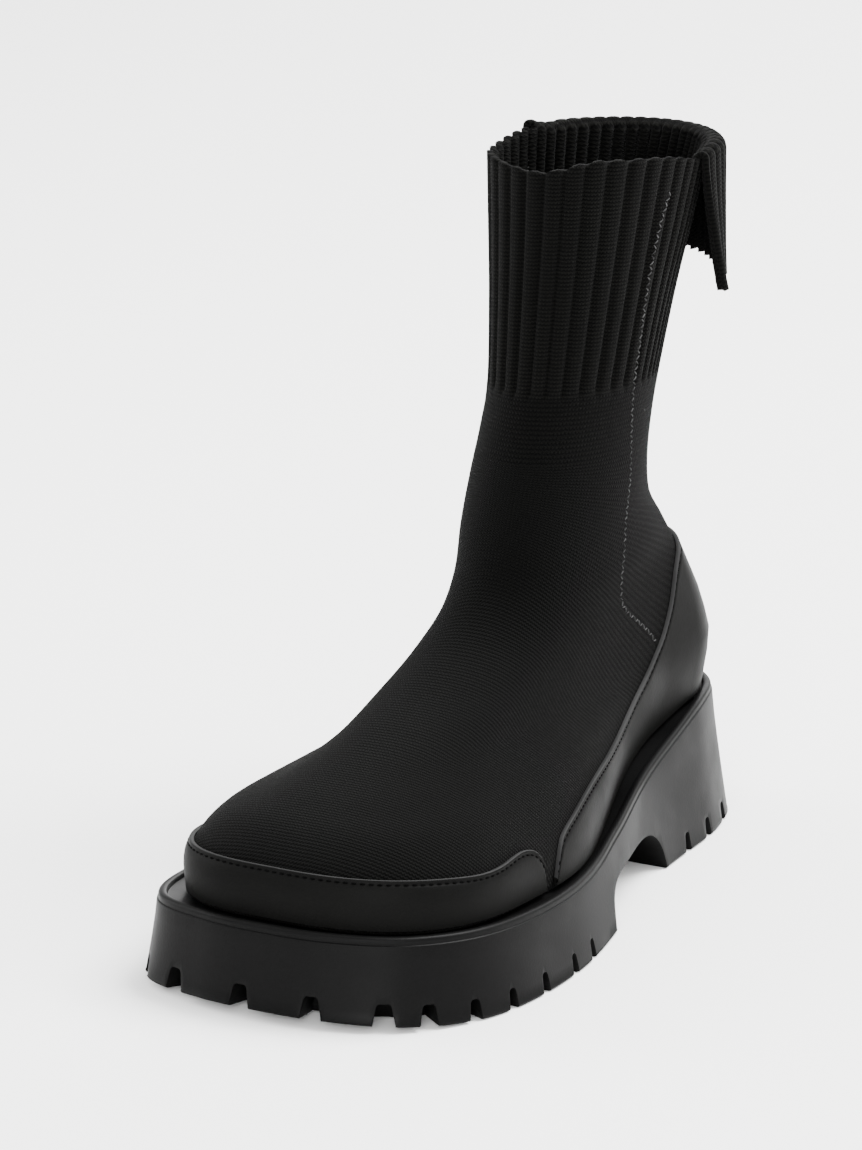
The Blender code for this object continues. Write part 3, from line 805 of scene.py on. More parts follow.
@dataclass
class Upper:
    """Knitted sock: foot, ribbed cuff and the back of the collar turned over."""

    last: Last
    finishes: Finishes
    wall: float = 1.9
    # Relative widths of the ribs of one side, from the front to the back.
    rib_widths: tuple[float, ...] = (
        12.0, 12.0, 11.7, 11.3, 10.8, 10.0, 9.2, 8.4, 7.6, 6.8, 6.2,
        5.8, 5.8, 6.0, 6.2, 6.4, 6.6, 6.8, 7.0, 7.0, 7.0, 7.0,
    )
    per_rib: int = 8
    rib_depth: float = 1.5
    groove: float = 0.13
    crown_dip: float = 0.08
    rib_fade: float = 2.2
    foot_rings: int = 84
    cuff_rings: int = 40
    # Rise of the collar's edge above the last's top ring, by angle.
    collar_rise: Rows = (
        (0.0, 0.6), (10.0, 1.1), (20.0, 2.5), (30.0, 4.0), (40.0, 4.6), (50.0, 4.2), (65.0, 3.7),
        (80.0, 2.5), (90.0, 0.9), (101.0, -0.6), (115.0, 0.0), (240.0, 0.0), (249.0, 1.6), (255.0, 3.2),
        (262.0, 3.0), (270.0, 2.3), (280.0, 1.5), (292.0, 1.1), (305.0, 1.2), (320.0, 2.0), (340.0, 1.4),
        (360.0, 0.6),
    )
    wave: float = 1.0
    wave_reach: float = 7.0
    fold_radius: float = 1.8
    corner_radius: float = 0.5
    corner_run: float = 18.0
    fold_steps: int = 8
    flap_rows: int = 20
    flap_drop: float = 38.8
    tip_drop: float = 6.5
    flap_flare: float = -0.5
    tip_flare: float = 0.9
    tip_power: float = 3.0
    flare_power: int = 4
    sweep_power: int = 6
    sweep_ease: float = 1.4
    tip_sweep: tuple[float, float, float] = (4.0, 8.0, 0.0)
    corners: tuple[float, float] = (101.25, 255.0)
    course_pivot: tuple[float, float] = (-10.0, 140.0)
    course_radius: float = 62.0
    course_bend: float = 66.0
    course_lean: float = 0.7

    def courses(self, points: np.ndarray) -> np.ndarray:
        """How far along the sock a point lies: along the foot, round the heel, up the shaft.

        Args:
            points: One point a row.

        Returns:
            Distances in millimetres, for the rows of the knit.
        """
        pivot_y, pivot_z = self.course_pivot
        low = np.minimum(points[..., 2] - self.course_bend, 0.0)
        y = points[..., 1] + self.course_lean * low - pivot_y
        z = pivot_z - points[..., 2]
        turn = np.arctan2(np.maximum(y, 0.0), np.maximum(z, 0.0))
        round_heel = turn * self.course_radius
        quarter = math.pi / 2 * self.course_radius
        return np.where(z <= 0, quarter - z, np.where(y <= 0, y, round_heel))

    def coords(self, points: np.ndarray) -> np.ndarray:
        """Surface coordinates for the weave: wales round the ring from its front, and courses.

        Args:
            points: A whole ring's points, from the front over the outer side.

        Returns:
            One pair a point, in millimetres.
        """
        steps = np.linalg.norm(np.roll(points, -1, axis=0) - points, axis=1)
        travelled = np.concatenate([[0.0], np.cumsum(steps)[:-1]])
        wales = np.minimum(travelled, steps.sum() - travelled)
        return np.stack([wales, self.courses(points)], axis=-1)

    def phases(self) -> tuple[np.ndarray, np.ndarray]:
        """Columns of the cuff.

        Returns:
            The place of each column within the ribs, crowns at whole numbers, and its angle.
        """
        widths = np.array(self.rib_widths)
        marks = np.concatenate([[0.0], np.cumsum(widths) * 180.0 / widths.sum()])
        marks = np.concatenate([marks, 360.0 - marks[-2::-1]])
        places = np.arange(2 * len(widths) * self.per_rib) / self.per_rib
        return places, np.interp(places, np.arange(len(marks)), marks)

    def sink(self, places: np.ndarray) -> np.ndarray:
        """Depth of the grooves between the ribs.

        Args:
            places: Places within the ribs, crowns at whole numbers.

        Returns:
            Depths as shares of a full groove.
        """
        away = np.abs(places % 1.0 - 0.5)
        crown = self.crown_dip * (1 - np.cos(2 * np.pi * (0.5 - away)))
        return np.exp(-((away / self.groove) ** 2)) + crown

    def cuff(self, places: np.ndarray, angles: np.ndarray) -> list[np.ndarray]:
        """Ribbed rings from the rib line to the collar.

        Args:
            places: Places of the columns within the ribs.
            angles: Angles of the columns.

        Returns:
            One array of points a ring.
        """
        levels = np.linspace(self.last.rib_line, self.last.collar, self.cuff_rings + 1)
        grid = np.stack([self.last.ring(level, angles) for level in levels])
        around = np.roll(grid, -1, axis=1) - np.roll(grid, 1, axis=1)
        up = np.gradient(grid, axis=0)
        out = np.cross(around, up)
        out /= np.linalg.norm(out, axis=-1, keepdims=True)
        climbed = grid[..., 2] - grid[:1, :, 2]
        depth = self.rib_depth * self.sink(places)[None] * np.clip(climbed / self.rib_fade, 0, 1)
        grid = grid - out * depth[..., None]
        top = np.clip(1 - (grid[-1:, :, 2] - grid[..., 2]) / self.wave_reach, 0, 1)
        rise = np.array([interpolate(self.collar_rise, float(a)) for a in angles])
        share = (climbed / climbed[-1:]) ** 2
        grid[..., 2] += share * rise[None] - top * self.wave * self.sink(places)[None]
        return list(grid)

    def flap(self, collar: np.ndarray, angles: np.ndarray) -> list[np.ndarray]:
        """The turned-over back of the collar, from the fold to its free edge.

        Args:
            collar: The collar ring's points between the two corners.
            angles: Their angles.

        Returns:
            One array of points a row.
        """
        normals = np.stack([self.last.normal(self.last.collar, a) for a in angles])
        out = normals * np.array((1.0, 1.0, 0.0))
        out /= np.linalg.norm(out, axis=1, keepdims=True)
        middle = sum(self.corners) / 2
        near = np.abs(angles - middle) / (self.corners[1] - middle)
        tip, flare = near**self.tip_power, near**self.flare_power
        sweep = np.array(self.tip_sweep)
        mirrored = sweep * (-1.0, 1.0, 1.0)
        sweeps = near[:, None] ** self.sweep_power * np.where((angles < middle)[:, None], sweep, mirrored)
        ends = np.linalg.norm(collar[:, None] - collar[[0, -1]][None], axis=2).min(axis=1)
        ramp = np.clip(ends / self.corner_run, 0, 1)
        radius = self.corner_radius + (self.fold_radius - self.corner_radius) * ease(ramp)
        up = np.array((0.0, 0.0, 1.0))
        rows = []
        for step in range(1, self.fold_steps + 1):
            turn = math.pi * step / self.fold_steps
            away, lift = radius * (1 - math.cos(turn)), radius * math.sin(turn)
            rows.append(collar + out * away[:, None] + up * lift[:, None])
        for step in range(1, self.flap_rows + 1):
            share = step / self.flap_rows
            away = 2 * radius + share * (self.flap_flare + flare * self.tip_flare)
            drop = share * (self.flap_drop + tip * self.tip_drop)
            shift = out * away[:, None] - up * drop[:, None] + sweeps * share**self.sweep_ease
            rows.append(collar + shift)
        return rows

    def foot(self, made: Builder, angles: np.ndarray) -> list[int]:
        """Knits the foot and the shaft below the ribs.

        Args:
            made: The sock's builder.
            angles: Angles of its columns.

        Returns:
            Indices of the ring below the rib line.
        """
        below: list[int] = []
        for level in np.linspace(0.0, self.last.rib_line, self.foot_rings + 1)[:-1]:
            points = self.last.ring(level, self.last.spread(level, angles))
            here = made.add(points, self.coords(points))
            if below:
                made.bridge(below, here, closed=True)
            below = here
        return below

    def turn_over(self, made: Builder, edge: list[int], collar: np.ndarray, angles: np.ndarray) -> None:
        """Knits the fold and the flap on to the collar's back.

        Args:
            made: The sock's builder.
            edge: Indices of the collar ring.
            collar: Its points.
            angles: Their angles.
        """
        first, last = (int(np.abs(angles - corner).argmin()) for corner in self.corners)
        span = np.arange(first, last + 1)
        edge, before = [edge[i] for i in span], collar[span]
        wales, base = self.coords(collar)[span, 0], self.courses(before)
        length = 0.0
        for points in self.flap(before, angles[span]):
            length += float(np.mean(np.linalg.norm(points - before, axis=1)))
            here = made.add(points, np.stack([wales, base + length], axis=-1))
            made.bridge(edge, here, closed=False, slot=1)
            edge, before = here, points

    def build(self) -> Piece:
        """Builds the sock as one wall and lets it stand for the frame's upper.

        Returns:
            The sock.
        """
        made = Builder()
        places, angles = self.phases()
        below = self.foot(made, angles[::2])
        rings = self.cuff(places, angles)
        cuff = [made.add(points, self.coords(points)) for points in rings]
        for i, here in enumerate(below):
            beside = below[(i + 1) % len(below)]
            start, middle, end = cuff[0][2 * i], cuff[0][2 * i + 1], cuff[0][(2 * i + 2) % len(angles)]
            made.face((here, middle, start))
            made.face((here, beside, middle))
            made.face((beside, end, middle))
        for low, high in zip(cuff, cuff[1:]):
            made.bridge(low, high, closed=True, slot=1)
        self.turn_over(made, cuff[-1], rings[-1], angles)
        obj = made.make("knit_sock", [self.finishes.knit, self.finishes.rib])
        wall = obj.modifiers.new("wall", "SOLIDIFY")
        wall.thickness = self.wall * MM
        wall.offset = -1.0
        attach(obj, "root")
        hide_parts("knit_upper")
        return obj


@dataclass
class LeatherPanel:
    """Leather overlay cut to an edge and laid on the upper."""

    last: Last
    finishes: Finishes
    name: str
    node: str
    edges: dict[Side, Rows]
    first_deg: float
    last_deg: float
    pitch_deg: float = 0.9
    bunch: float = 1.0
    gap: float = 0.35
    thick: float = 1.4
    foot_level: float = 0.1
    stitch_inset: float = 1.7
    stitch_length: float = 1.9
    stitch_pitch: float = 2.7
    stitch_sunk: float = 0.22
    thread: float = 0.34
    edge_depths: tuple[float, ...] = (0.0, 0.2, 0.5, 0.9, 1.3, 1.7, 2.1, 2.7, 4.0)
    edge_round: float = 0.5
    edge_step: float = 0.35
    groove: float = 0.28
    groove_half: float = 0.45
    least_height: float = 0.02
    lower_rows: int = 6
    cut_faces: tuple[int, ...] = (1, 2, 3)
    sharp_deg: float = 50.0

    def columns(self) -> list[tuple[float, float]]:
        """Columns of the panel.

        Returns:
            Angle and top level of each column.
        """
        count = round((self.last_deg - self.first_deg) / self.pitch_deg)
        ends = np.array((self.first_deg, self.last_deg)) / 180.0
        start, end = np.sign(ends) * np.abs(ends) ** (1 / self.bunch)
        found = []
        for share in np.linspace(start, end, count + 1):
            angle = float(math.copysign(abs(share) ** self.bunch * 180.0, share))
            side = Side.OUTER if math.sin(math.radians(angle)) >= 0 else Side.INNER
            top = self.last.level_under(angle, self.edges[side])
            found.append((angle, max(self.foot_level + self.least_height, top)))
        return found

    def down(self, angle: float, top: float, distance: float) -> float:
        """The level some way below the edge along the wall.

        Args:
            angle: The column's angle.
            top: The edge's level.
            distance: How far below the edge.

        Returns:
            The level, or the panel's foot where the wall ends.
        """
        step = self.last.level_step
        under = self.last.point(max(0.0, top - step), angle)
        rise = np.linalg.norm(self.last.point(top, angle) - under) / step
        return max(self.foot_level, top - distance / rise)

    def profile(self, angle: float, top: float) -> list[tuple[float, float]]:
        """One column's section: up the back, over the rolled edge, past the stitch groove and down.

        Args:
            angle: The column's angle.
            top: The edge's level.

        Returns:
            Levels and heights above the last.
        """
        found = [(self.foot_level, self.gap), (top, self.gap)]
        for depth in self.edge_depths:
            rolled = math.sqrt(max(0.0, 1 - max(0.0, 1 - depth / self.edge_round) ** 2))
            sunk = self.groove * math.exp(-(((depth - self.stitch_inset) / self.groove_half) ** 2))
            lift = self.gap + self.thick * (self.edge_step + (1 - self.edge_step) * rolled) - sunk
            found.append((self.down(angle, top, depth), lift))
        lowest = found[-1][0]
        for k in range(1, self.lower_rows + 1):
            level = lowest + (self.foot_level - lowest) * k / self.lower_rows
            found.append((level, self.gap + self.thick))
        return found

    def build(self) -> Piece:
        """Builds the panel and lets it stand for its node.

        Returns:
            The panel.
        """
        made = Builder()
        rows = []
        for angle, top in self.columns():
            points = [
                self.last.point(level, angle) + self.last.normal(level, angle) * lift
                for level, lift in self.profile(angle, top)
            ]
            rows.append(made.add(np.stack(points)))
        for left, right in zip(rows, rows[1:]):
            count = len(left)
            for k in range(count):
                n = (k + 1) % count
                made.face((left[k], left[n], right[n], right[k]), 1 if k in self.cut_faces else 0)
        made.cap(rows)
        obj = made.make(self.name, [self.finishes.leather, self.finishes.edge])
        obj.data.set_sharp_from_angle(angle=math.radians(self.sharp_deg))
        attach(obj, "root")
        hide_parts(self.node)
        return obj

    def stitch(self) -> Piece:
        """Sews a row of stitches just inside the edge.

        Returns:
            The stitches.
        """
        line, outs = [], []
        for angle, top in self.columns():
            level = self.down(angle, top, self.stitch_inset)
            out = self.last.normal(level, angle)
            line.append(self.last.point(level, angle) + out * (self.gap + self.thick - self.stitch_sunk))
            outs.append(out)
        kind = Stitch(self.stitch_length, self.stitch_pitch, self.thread)
        obj = kind.sew(f"{self.name}_stitches", np.array(line), np.array(outs), self.finishes.dark_thread)
        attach(obj, "root")
        return obj


def walk(line: np.ndarray, outs: np.ndarray, pitch: float) -> tuple[np.ndarray, np.ndarray]:
    """Evenly spaced places along a line.

    Args:
        line: Points of the line.
        outs: Outward normals at the same points.
        pitch: Distance between places.

    Returns:
        The places and the normals there.
    """
    lengths = lengths_along(line)
    wanted = np.arange(0.0, lengths[-1], pitch)
    places = np.stack([np.interp(wanted, lengths, line[:, k]) for k in range(3)], axis=1)
    normals = np.stack([np.interp(wanted, lengths, outs[:, k]) for k in range(3)], axis=1)
    return places, normals / np.linalg.norm(normals, axis=1, keepdims=True)


@dataclass(frozen=True)
class Stitch:
    """One kind of stitch: its length and pitch, half its thread's thickness and half its zigzag."""

    length: float
    pitch: float
    radius: float
    zigzag: float = 0.0
    swell: Rows = ((0.0, 0.35), (0.2, 0.9), (0.5, 1.0), (0.8, 0.9), (1.0, 0.35))
    tuck: float = 0.25
    sides: int = 6

    def rings(self, start: np.ndarray, end: np.ndarray, out: np.ndarray) -> list[np.ndarray]:
        """Rings of the thread of one stitch, with both ends tucked in.

        Args:
            start: Where the thread comes up.
            end: Where it goes down.
            out: Outward normal of the surface.

        Returns:
            One array of points a ring.
        """
        run = (end - start) / np.linalg.norm(end - start)
        side = np.cross(out, run)
        turns = np.arange(self.sides) * 2 * math.pi / self.sides
        ring = np.cos(turns)[:, None] * side + np.sin(turns)[:, None] * out
        found = []
        for share, size in self.swell:
            centre = start + (end - start) * share - out * (self.tuck if share in (0.0, 1.0) else 0.0)
            found.append(centre + self.radius * size * ring)
        return found

    def sew(self, name: str, line: np.ndarray, outs: np.ndarray, finish: Material) -> Piece:
        """Separate stitches along a line on a surface.

        Args:
            name: The piece's name.
            line: Points of the line.
            outs: Outward normals at the same points.
            finish: The thread's material.

        Returns:
            The stitches as one object.
        """
        made = Builder()
        places, normals = walk(line, outs, self.pitch)
        for i in range(len(places) - 1):
            along = places[i + 1] - places[i]
            along /= np.linalg.norm(along)
            swing = np.cross(normals[i], along) * self.zigzag * (1 if i % 2 else -1)
            end = places[i] + along * self.length - swing
            made.tube([made.add(ring) for ring in self.rings(places[i] + swing, end, normals[i])])
        return made.make(name, [finish])


@dataclass
class SideSeam:
    """Zigzag seam where the front and back of the knit are joined, or its tape on the inside."""

    last: Last
    finishes: Finishes
    side: Side
    path: Rows
    inset: float = -0.05
    thread: float = 0.22
    name: str = "side_seam"
    steps: int = 180
    stitch_length: float = 1.3
    stitch_pitch: float = 1.8
    zigzag: float = 0.75

    def build(self) -> Piece:
        """Sews the seam, facing the inside where it is set in from the surface.

        Returns:
            The seam.
        """
        line, outs = [], []
        for level in np.linspace(self.path[0][0], self.path[-1][0], self.steps):
            angle = interpolate(self.path, float(level))
            angle = 360.0 - angle if self.side is Side.INNER else angle
            out = self.last.normal(float(level), angle)
            line.append(self.last.point(float(level), angle) - out * self.inset)
            outs.append(-out if self.inset > 0 else out)
        kind = Stitch(self.stitch_length, self.stitch_pitch, self.thread, self.zigzag)
        name = f"{self.name}_{self.side.value}"
        obj = kind.sew(name, np.array(line), np.array(outs), self.finishes.grey_thread)
        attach(obj, "root")
        return obj


@dataclass
class Sole:
    """Moulded rubber unit: flared wall, mould line, lip and ledge, arch, block heel and edge notches."""

    last: Last
    finishes: Finishes
    outline: Rows = (
        (-1.0, -136.8), (22.0, -134.0), (44.0, -122.5), (58.5, -95.0), (59.8, -50.0), (48.5, 2.0),
        (37.3, 46.0), (29.5, 98.0), (19.5, 121.0), (-4.0, 131.0), (-27.5, 121.0), (-37.0, 98.0),
        (-36.0, 50.0), (-42.0, 4.0), (-52.5, -55.0), (-54.8, -98.0), (-46.5, -124.5), (-24.0, -134.5),
    )
    heel_place: int = 9
    arch: Rows = (
        (-13.0, -3.0), (-11.5, 4.0), (-9.0, 11.0), (-2.0, 15.2), (14.0, 16.8), (30.0, 17.0),
        (42.0, 14.5), (50.0, 8.0), (54.0, -3.0),
    )
    steps: int = 150
    lip: float = 2.5
    mould_line: float = 2.2
    flare: tuple[float, float] = (4.5, 6.5)
    flare_y: tuple[float, float] = (45.0, 98.7)
    spring: float = 3.6
    spring_y: tuple[float, float] = (-95.0, -141.0)
    # The wall's section in pairs of an offset and a height: from the tread's edge, the mould line,
    # the lip's outside and inside, and the ledge.
    tread_marks: Rows = ((-1.0, 0.0), (-0.3, 0.25), (0.0, 0.9))
    wall_shares: tuple[float, ...] = (0.955, 0.8, 0.6, 0.4, 0.2)
    wall_offset: float = 0.55
    wall_curve: float = 1.15
    line_marks: Rows = ((0.6, -0.7), (0.5, -0.35), (0.05, -0.1), (0.1, 0.25))
    lip_marks: Rows = ((0.1, -0.9), (-0.15, -0.35), (-0.75, 0.0))
    lip_inside: Rows = ((0.3, 0.0), (0.0, -0.25))
    ledge_marks: Rows = ((-0.5, 0.2), (-1.1, 0.0))
    curve_points: int = 40
    arch_points: int = 6
    cut_half: float = 90.0
    cut_below: float = 6.0
    notch_widths: Rows = (
        (-142.0, 7.2), (-128.0, 7.0), (-112.0, 5.2), (-95.0, 4.4), (60.0, 4.6), (100.0, 5.2), (142.0, 5.4),
    )
    notch_height: float = 7.0
    notch_taper: float = 0.64
    # A notch's eased top corner, and its run: reach outwards and fall of the roof there.
    notch_shoulder: Rows = ((0.15, -1.0), (-0.25, -0.3), (-0.8, 0.0))
    notch_run: Rows = ((4.0, 0.0), (-7.15, 0.4), (-13.0, 2.5))
    notch_margin: float = 8.0
    toe_steps: tuple[float, ...] = (25.0, 21.5, 16.5, 15.5, 17.5, 18.0, 18.5, 17.5, 18.0, 18.0)
    heel_steps: tuple[float, ...] = (16.8, 16.8, 16.8, 18.0, 17.5)
    groove_places: tuple[float, ...] = (-116.0, -100.0, -84.0, -68.0, -52.0, -36.0, 72.0, 88.0, 104.0)
    groove_margin: float = 15.0
    groove_sweep: float = 8.0
    groove_width: float = 4.0
    groove_depth: float = 3.0
    notch_starts: Rows = ((-8.0, -141.0), (-4.0, 141.0))
    eased: float = 0.5
    eased_deg: float = 48.0
    sharp_deg: float = 42.0

    def rim(self) -> np.ndarray:
        """The rim's outline, evenly spaced: toe tip, outer side, heel back, inner side.

        Returns:
            One place a row, seen from above.
        """
        marks = np.array(self.outline)
        count, fine = len(marks), self.curve_points
        curve = []
        for i in range(count):
            p0, p1, p2, p3 = (marks[(i + k - 1) % count] for k in range(4))
            square, cube = 2 * p0 - 5 * p1 + 4 * p2 - p3, 3 * p1 - p0 - 3 * p2 + p3
            for t in np.arange(fine) / fine:
                curve.append(0.5 * (2 * p1 + (p2 - p0) * t + square * t**2 + cube * t**3))
        half = self.heel_place * fine
        found = []
        for part in (curve[: half + 1], curve[half:] + curve[:1]):
            line = np.array(part)
            lengths = lengths_along(line)
            wanted = np.linspace(0.0, lengths[-1], self.steps + 1)[:-1]
            found.append(np.stack([np.interp(wanted, lengths, line[:, k]) for k in range(2)], axis=1))
        return np.concatenate(found)

    @staticmethod
    def outward(ring: np.ndarray) -> np.ndarray:
        """Outward directions of a flat ring.

        Args:
            ring: Its points, anticlockwise from above.

        Returns:
            One unit normal a row.
        """
        along = np.roll(ring, -1, axis=0) - np.roll(ring, 1, axis=0)
        out = np.stack([along[:, 1], -along[:, 0]], axis=1)
        return out / np.linalg.norm(out, axis=1, keepdims=True)

    def flares(self, y: np.ndarray) -> np.ndarray:
        """How far the tread's edge stands out from the rim."""
        t = np.clip((y - self.flare_y[0]) / (self.flare_y[1] - self.flare_y[0]), 0, 1)
        return self.flare[0] + (self.flare[1] - self.flare[0]) * ease(t)

    def tread(self, y: np.ndarray) -> np.ndarray:
        """Underside of the sole, lifted at the toe."""
        start, end = self.spring_y
        return self.spring * np.clip((start - y) / (start - end), 0, None) ** 2

    def profile(self, y: np.ndarray) -> list[tuple[np.ndarray, np.ndarray]]:
        """The wall's section, from the tread's edge up over the mould line and the lip to the ledge.

        Args:
            y: Places along the shoe of the rim's points.

        Returns:
            Pairs of offsets from the rim and heights.
        """
        low, flare, shelf = self.tread(y), self.flares(y), self.last.shelf(y)
        top = shelf + self.last.lip_height
        line = top - self.mould_line
        high = line + self.line_marks[0][1]
        found = [(flare + away, low + up) for away, up in self.tread_marks]
        for share in self.wall_shares:
            away = self.wall_offset + (flare - self.wall_offset) * share**self.wall_curve
            found.append((away, high + (low - high) * share))
        for inset, base, marks in (
            (0.0, line, self.line_marks), (0.0, top, self.lip_marks),
            (self.lip, top, self.lip_inside), (self.lip, shelf, self.ledge_marks),
        ):
            found += [(np.full_like(y, away - inset), base + up) for away, up in marks]
        return found

    def body(self) -> Piece:
        """The unit before the arch, the notches and the tread are cut.

        Returns:
            The closed unit.
        """
        rim = self.rim()
        out = self.outward(rim)
        made = Builder()
        rows = []
        for offset, height in self.profile(rim[:, 1]):
            rows.append(made.add(np.column_stack([rim + out * offset[:, None], height])))
        for lower, upper in zip(rows, rows[1:]):
            made.bridge(lower, upper, closed=True)
        count, half = len(rim), len(rim) // 2
        for ring, turned in ((rows[0], True), (rows[-1], False)):
            strip = [(ring[0], ring[1], ring[-1])]
            for i in range(1, half - 1):
                strip.append((ring[i], ring[i + 1], ring[count - i - 1], ring[count - i]))
            strip.append((ring[half - 1], ring[half], ring[half + 1]))
            for corners in strip:
                made.face(tuple(reversed(corners)) if turned else corners)
        return made.make("moulded_sole", [self.finishes.rubber])

    def arch_cutter(self) -> Piece:
        """Prism across the shoe under the waist.

        Returns:
            The cutter.
        """
        marks = np.array(self.arch)
        fine = np.linspace(0, len(marks) - 1, self.arch_points * len(marks))
        ys, zs = ([interpolate(tuple(enumerate(marks[:, k])), float(t)) for t in fine] for k in (0, 1))
        made = Builder()
        ends = (-self.cut_half, self.cut_half)
        made.tube([made.add(np.array([(x, y, z) for y, z in zip(ys, zs)])) for x in ends])
        return made.make("arch_cutter", [self.finishes.rubber])

    def notches(self, edge: np.ndarray) -> list[tuple[np.ndarray, np.ndarray]]:
        """Places along the tread's edge that are notched, with their outward directions.

        Args:
            edge: The tread's edge from above.

        Returns:
            Pairs of a place and a direction.
        """
        out = self.outward(edge)
        count = len(edge)
        found = []
        for start, steps in zip(self.notch_starts, (self.toe_steps, self.heel_steps)):
            home = int(np.linalg.norm(edge - np.array(start), axis=1).argmin())
            for order in (1, -1):
                loop = np.array([(home + order * k) % count for k in range(count)])
                lengths = lengths_along(edge[loop])
                reaches = np.cumsum(steps)
                for reach in reaches if order < 0 else np.concatenate([[0.0], reaches]):
                    k = loop[int(np.searchsorted(lengths, reach))]
                    found.append((edge[k], out[k]))
        front, back = self.arch[0][0] - self.notch_margin, self.arch[-1][0] + self.notch_margin
        return [(p, n) for p, n in found if p[1] < front or p[1] > back]

    def notch_section(self, y: float) -> list[tuple[float, float]]:
        """A notch seen from outside, with eased top corners.

        Args:
            y: Place along the shoe.

        Returns:
            Places across the notch and heights above the tread.
        """
        half = interpolate(self.notch_widths, y) / 2
        narrow = half * self.notch_taper
        right = [(half, -self.cut_below), (half, 0.0)]
        right += [(narrow + away, self.notch_height + up) for away, up in self.notch_shoulder]
        left = [(-across, height) for across, height in reversed(right)]
        return left[-1:] + right + left[:-1]

    def notch_cutter(self) -> Piece:
        """All the notches as wedges whose roofs fall inwards.

        Returns:
            The cutter.
        """
        rim = self.rim()
        edge = rim + self.outward(rim) * self.flares(rim[:, 1])[:, None]
        made = Builder()
        for place, out in self.notches(edge):
            section = self.notch_section(float(place[1]))
            side = np.array((-out[1], out[0]))
            base = float(self.tread(np.array([place[1]]))[0])
            rings = []
            for reach, fall in self.notch_run:
                points = [
                    (*(place + side * across + out * reach), base + (height - fall if height > 0 else height))
                    for across, height in section
                ]
                rings.append(made.add(np.array(points)))
            made.tube(rings)
        return made.make("notch_cutter", [self.finishes.rubber])

    def tread_cutter(self) -> Piece:
        """Shallow chevron grooves across the tread, inside the edge lugs.

        Returns:
            The cutter.
        """
        rim = self.rim()
        outer, inner = rim[: self.steps], rim[self.steps:][::-1]
        made = Builder()
        for y in self.groove_places:
            low, high = (float(np.interp(y, side[:, 1], side[:, 0])) for side in (inner, outer))
            low, high = low + self.groove_margin, high - self.groove_margin
            line = [(low, y), ((low + high) / 2, y + math.copysign(self.groove_sweep, y)), (high, y)]
            flat = line + [(x, back + self.groove_width) for x, back in reversed(line)]
            top = float(self.tread(np.array([y]))[0]) + self.groove_depth
            rings = [made.add(np.array([(*p, z) for p in flat])) for z in (-self.cut_below, top)]
            made.bridge(rings[0], rings[1], closed=True)
            for ring in rings:
                for near, mid, far, back in ((0, 1, 4, 5), (1, 2, 3, 4)):
                    made.face((ring[near], ring[mid], ring[far], ring[back]))
        return made.make("tread_cutter", [self.finishes.rubber])

    def build(self) -> Piece:
        """Cuts the unit, lets it stand for the frame's sole and dresses the footbed.

        Returns:
            The sole.
        """
        unit = self.body()
        cutters = [self.arch_cutter(), self.notch_cutter(), self.tread_cutter()]
        for cutter in cutters:
            turn_out(cutter)
            cut = unit.modifiers.new(cutter.name, "BOOLEAN")
            cut.operation, cut.solver, cut.object = "DIFFERENCE", "EXACT", cutter
        bake(unit)
        for cutter in cutters:
            bpy.data.objects.remove(cutter)
        bevel = unit.modifiers.new("eased_edges", "BEVEL")
        bevel.width, bevel.segments = self.eased * MM, 2
        bevel.limit_method, bevel.angle_limit = "ANGLE", math.radians(self.eased_deg)
        bake(unit)
        unit.data.shade_smooth()
        unit.data.set_sharp_from_angle(angle=math.radians(self.sharp_deg))
        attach(unit, "root")
        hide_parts("sole")
        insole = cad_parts["insole"]
        insole.data.materials.clear()
        insole.data.materials.append(self.finishes.footbed)
        return unit


def turn_out(obj: Piece) -> None:
    """Turns a closed mesh's faces outwards.

    Args:
        obj: The mesh's object.
    """
    work = bmesh.new()
    work.from_mesh(obj.data)
    bmesh.ops.recalc_face_normals(work, faces=work.faces)
    work.to_mesh(obj.data)
    work.free()


def bake(obj: Piece) -> None:
    """Applies an object's modifiers to its mesh.

    Args:
        obj: The object.
    """
    graph = bpy.context.evaluated_depsgraph_get()
    mesh = bpy.data.meshes.new_from_object(obj.evaluated_get(graph))
    obj.modifiers.clear()
    old, obj.data = obj.data, mesh
    bpy.data.meshes.remove(old)


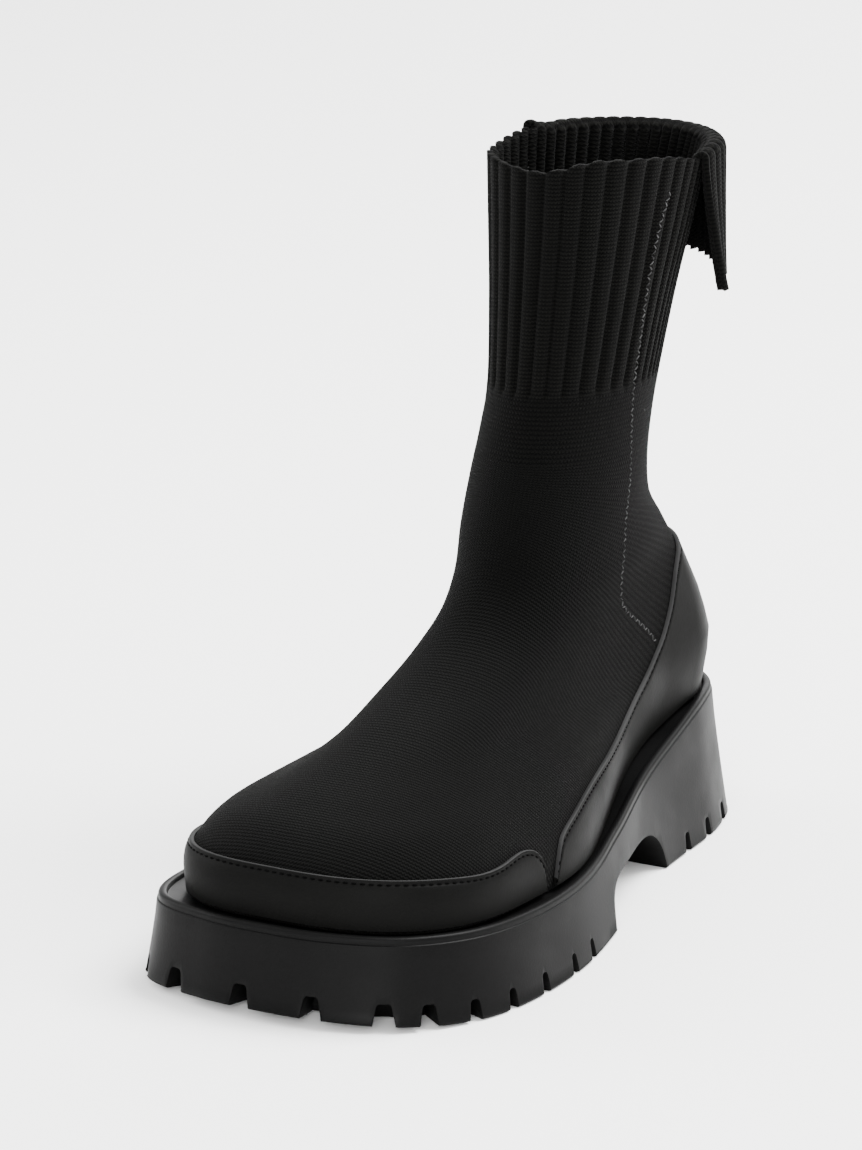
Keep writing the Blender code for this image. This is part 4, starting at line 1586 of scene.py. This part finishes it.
@dataclass
class Studio:
    """White floor, soft light and the camera."""

    distance: float = 2000.0
    azimuth: float = 29.75
    elevation: float = 15.785
    aim: tuple[float, float, float] = (-28.3, 15.3, 100.8)
    lens: float = 191.0
    sensor: float = 36.0
    view_end: float = 100.0
    floor_half: float = 6000.0
    floor_drop: float = 0.15
    surround: float = 1.7
    lit_place: tuple[float, float, float] = (0.0, 0.0, 0.1)
    # Soft boxes: name, place and side in metres, power in watts.
    boxes: tuple[tuple[str, tuple[float, float, float], float, float], ...] = (
        ("top_box", (0.7, 0.8, 1.9), 1.2, 165.0),
        ("front_box", (0.9, -2.2, 0.8), 1.2, 70.0),
        ("side_box", (2.0, 0.6, 0.9), 1.0, 14.0),
        ("inner_box", (-2.0, -0.4, 0.9), 1.2, 40.0),
        ("back_box", (-0.6, 2.2, 0.8), 1.2, 30.0),
    )

    def floor(self) -> None:
        """Lays the floor."""
        made = Builder()
        half = self.floor_half
        corners = ((-half, -half), (half, -half), (half, half), (-half, half))
        made.face(tuple(made.add(np.array([(x, y, -self.floor_drop) for x, y in corners]))))
        paper = bpy.data.materials.new("white_floor")
        paper.use_nodes = True
        shader = paper.node_tree.nodes["Principled BSDF"]
        shader.inputs["Base Color"].default_value = (0.92, 0.92, 0.915, 1.0)
        shader.inputs["Roughness"].default_value = 0.9
        shader.inputs["Specular IOR Level"].default_value = 0.1
        made.make("studio_floor", [paper])

    def lamp(self, name: str, place: tuple[float, float, float], size: float, power: float) -> None:
        """Hangs one soft light that faces the boot.

        Args:
            name: The light's name.
            place: Where it hangs, in metres.
            size: Its side in metres.
            power: Its power in watts.
        """
        data = bpy.data.lights.new(name, "AREA")
        data.size, data.energy = size, power
        obj = bpy.data.objects.new(name, data)
        obj.location = place
        aim = Vector(self.lit_place) - Vector(place)
        obj.rotation_euler = aim.to_track_quat("-Z", "Y").to_euler()
        bpy.context.scene.collection.objects.link(obj)

    def light(self) -> None:
        """Sets the white surroundings and the soft boxes."""
        world = bpy.data.worlds.new("studio")
        world.use_nodes = True
        background = world.node_tree.nodes["Background"]
        background.inputs["Color"].default_value = (1.0, 1.0, 1.0, 1.0)
        background.inputs["Strength"].default_value = self.surround
        bpy.context.scene.world = world
        for name, place, size, power in self.boxes:
            self.lamp(name, place, size, power)

    def camera(self) -> None:
        """Stands the camera where the photograph was taken from, turned to frame the shoe."""
        az, el = math.radians(self.azimuth), math.radians(self.elevation)
        back = Vector((math.sin(az) * math.cos(el), -math.cos(az) * math.cos(el), math.sin(el)))
        right = Vector((math.cos(az), math.sin(az), 0.0))
        aim = Vector(np.array(self.aim) - FLOOR_CENTRE)
        data = bpy.data.cameras.new("camera")
        data.sensor_fit = "VERTICAL"
        data.sensor_height = self.sensor
        data.lens = self.lens
        data.clip_end = self.view_end
        obj = bpy.data.objects.new("camera", data)
        place = (aim + back * self.distance) * MM
        turn = Matrix((right, back.cross(right), back)).transposed()
        obj.matrix_world = Matrix.Translation(place) @ turn.to_4x4()
        bpy.context.scene.collection.objects.link(obj)
        bpy.context.scene.camera = obj


def main() -> None:
    """Builds every piece in order and reports each one."""
    logging.basicConfig(level=logging.INFO, format="%(message)s")
    studio = Studio()
    studio.camera()
    studio.floor()
    studio.light()
    last = Last()
    finishes = Finishes(Effects())
    pieces = [Sole(last, finishes).build(), Upper(last, finishes).build()]
    rand_start = last.angle_at(RAND_EDGE[Side.INNER][-1][0], Side.INNER) - 360.0
    rand_end = last.angle_at(RAND_EDGE[Side.OUTER][-1][0], Side.OUTER)
    counter_start, counter_end = (last.angle_at(COUNTER_EDGE[side][0][0], side) for side in Side)
    for panel in (
        LeatherPanel(
            last, finishes, "rand_leather", "toe_rand", RAND_EDGE, rand_start, rand_end, bunch=1.45
        ),
        LeatherPanel(
            last, finishes, "counter_leather", "heel_counter", COUNTER_EDGE, counter_start, counter_end
        ),
    ):
        pieces += [panel.build(), panel.stitch()]
    for side in Side:
        pieces.append(SideSeam(last, finishes, side, SEAM_PATH).build())
        tape = SideSeam(last, finishes, side, TAPE_PATH, inset=2.1, thread=0.4, name="seam_tape")
        pieces.append(tape.build())
    for piece in pieces:
        LOG.info("%s: %d faces", piece.name, len(piece.data.polygons))


if __name__ == "__main__":
    main()
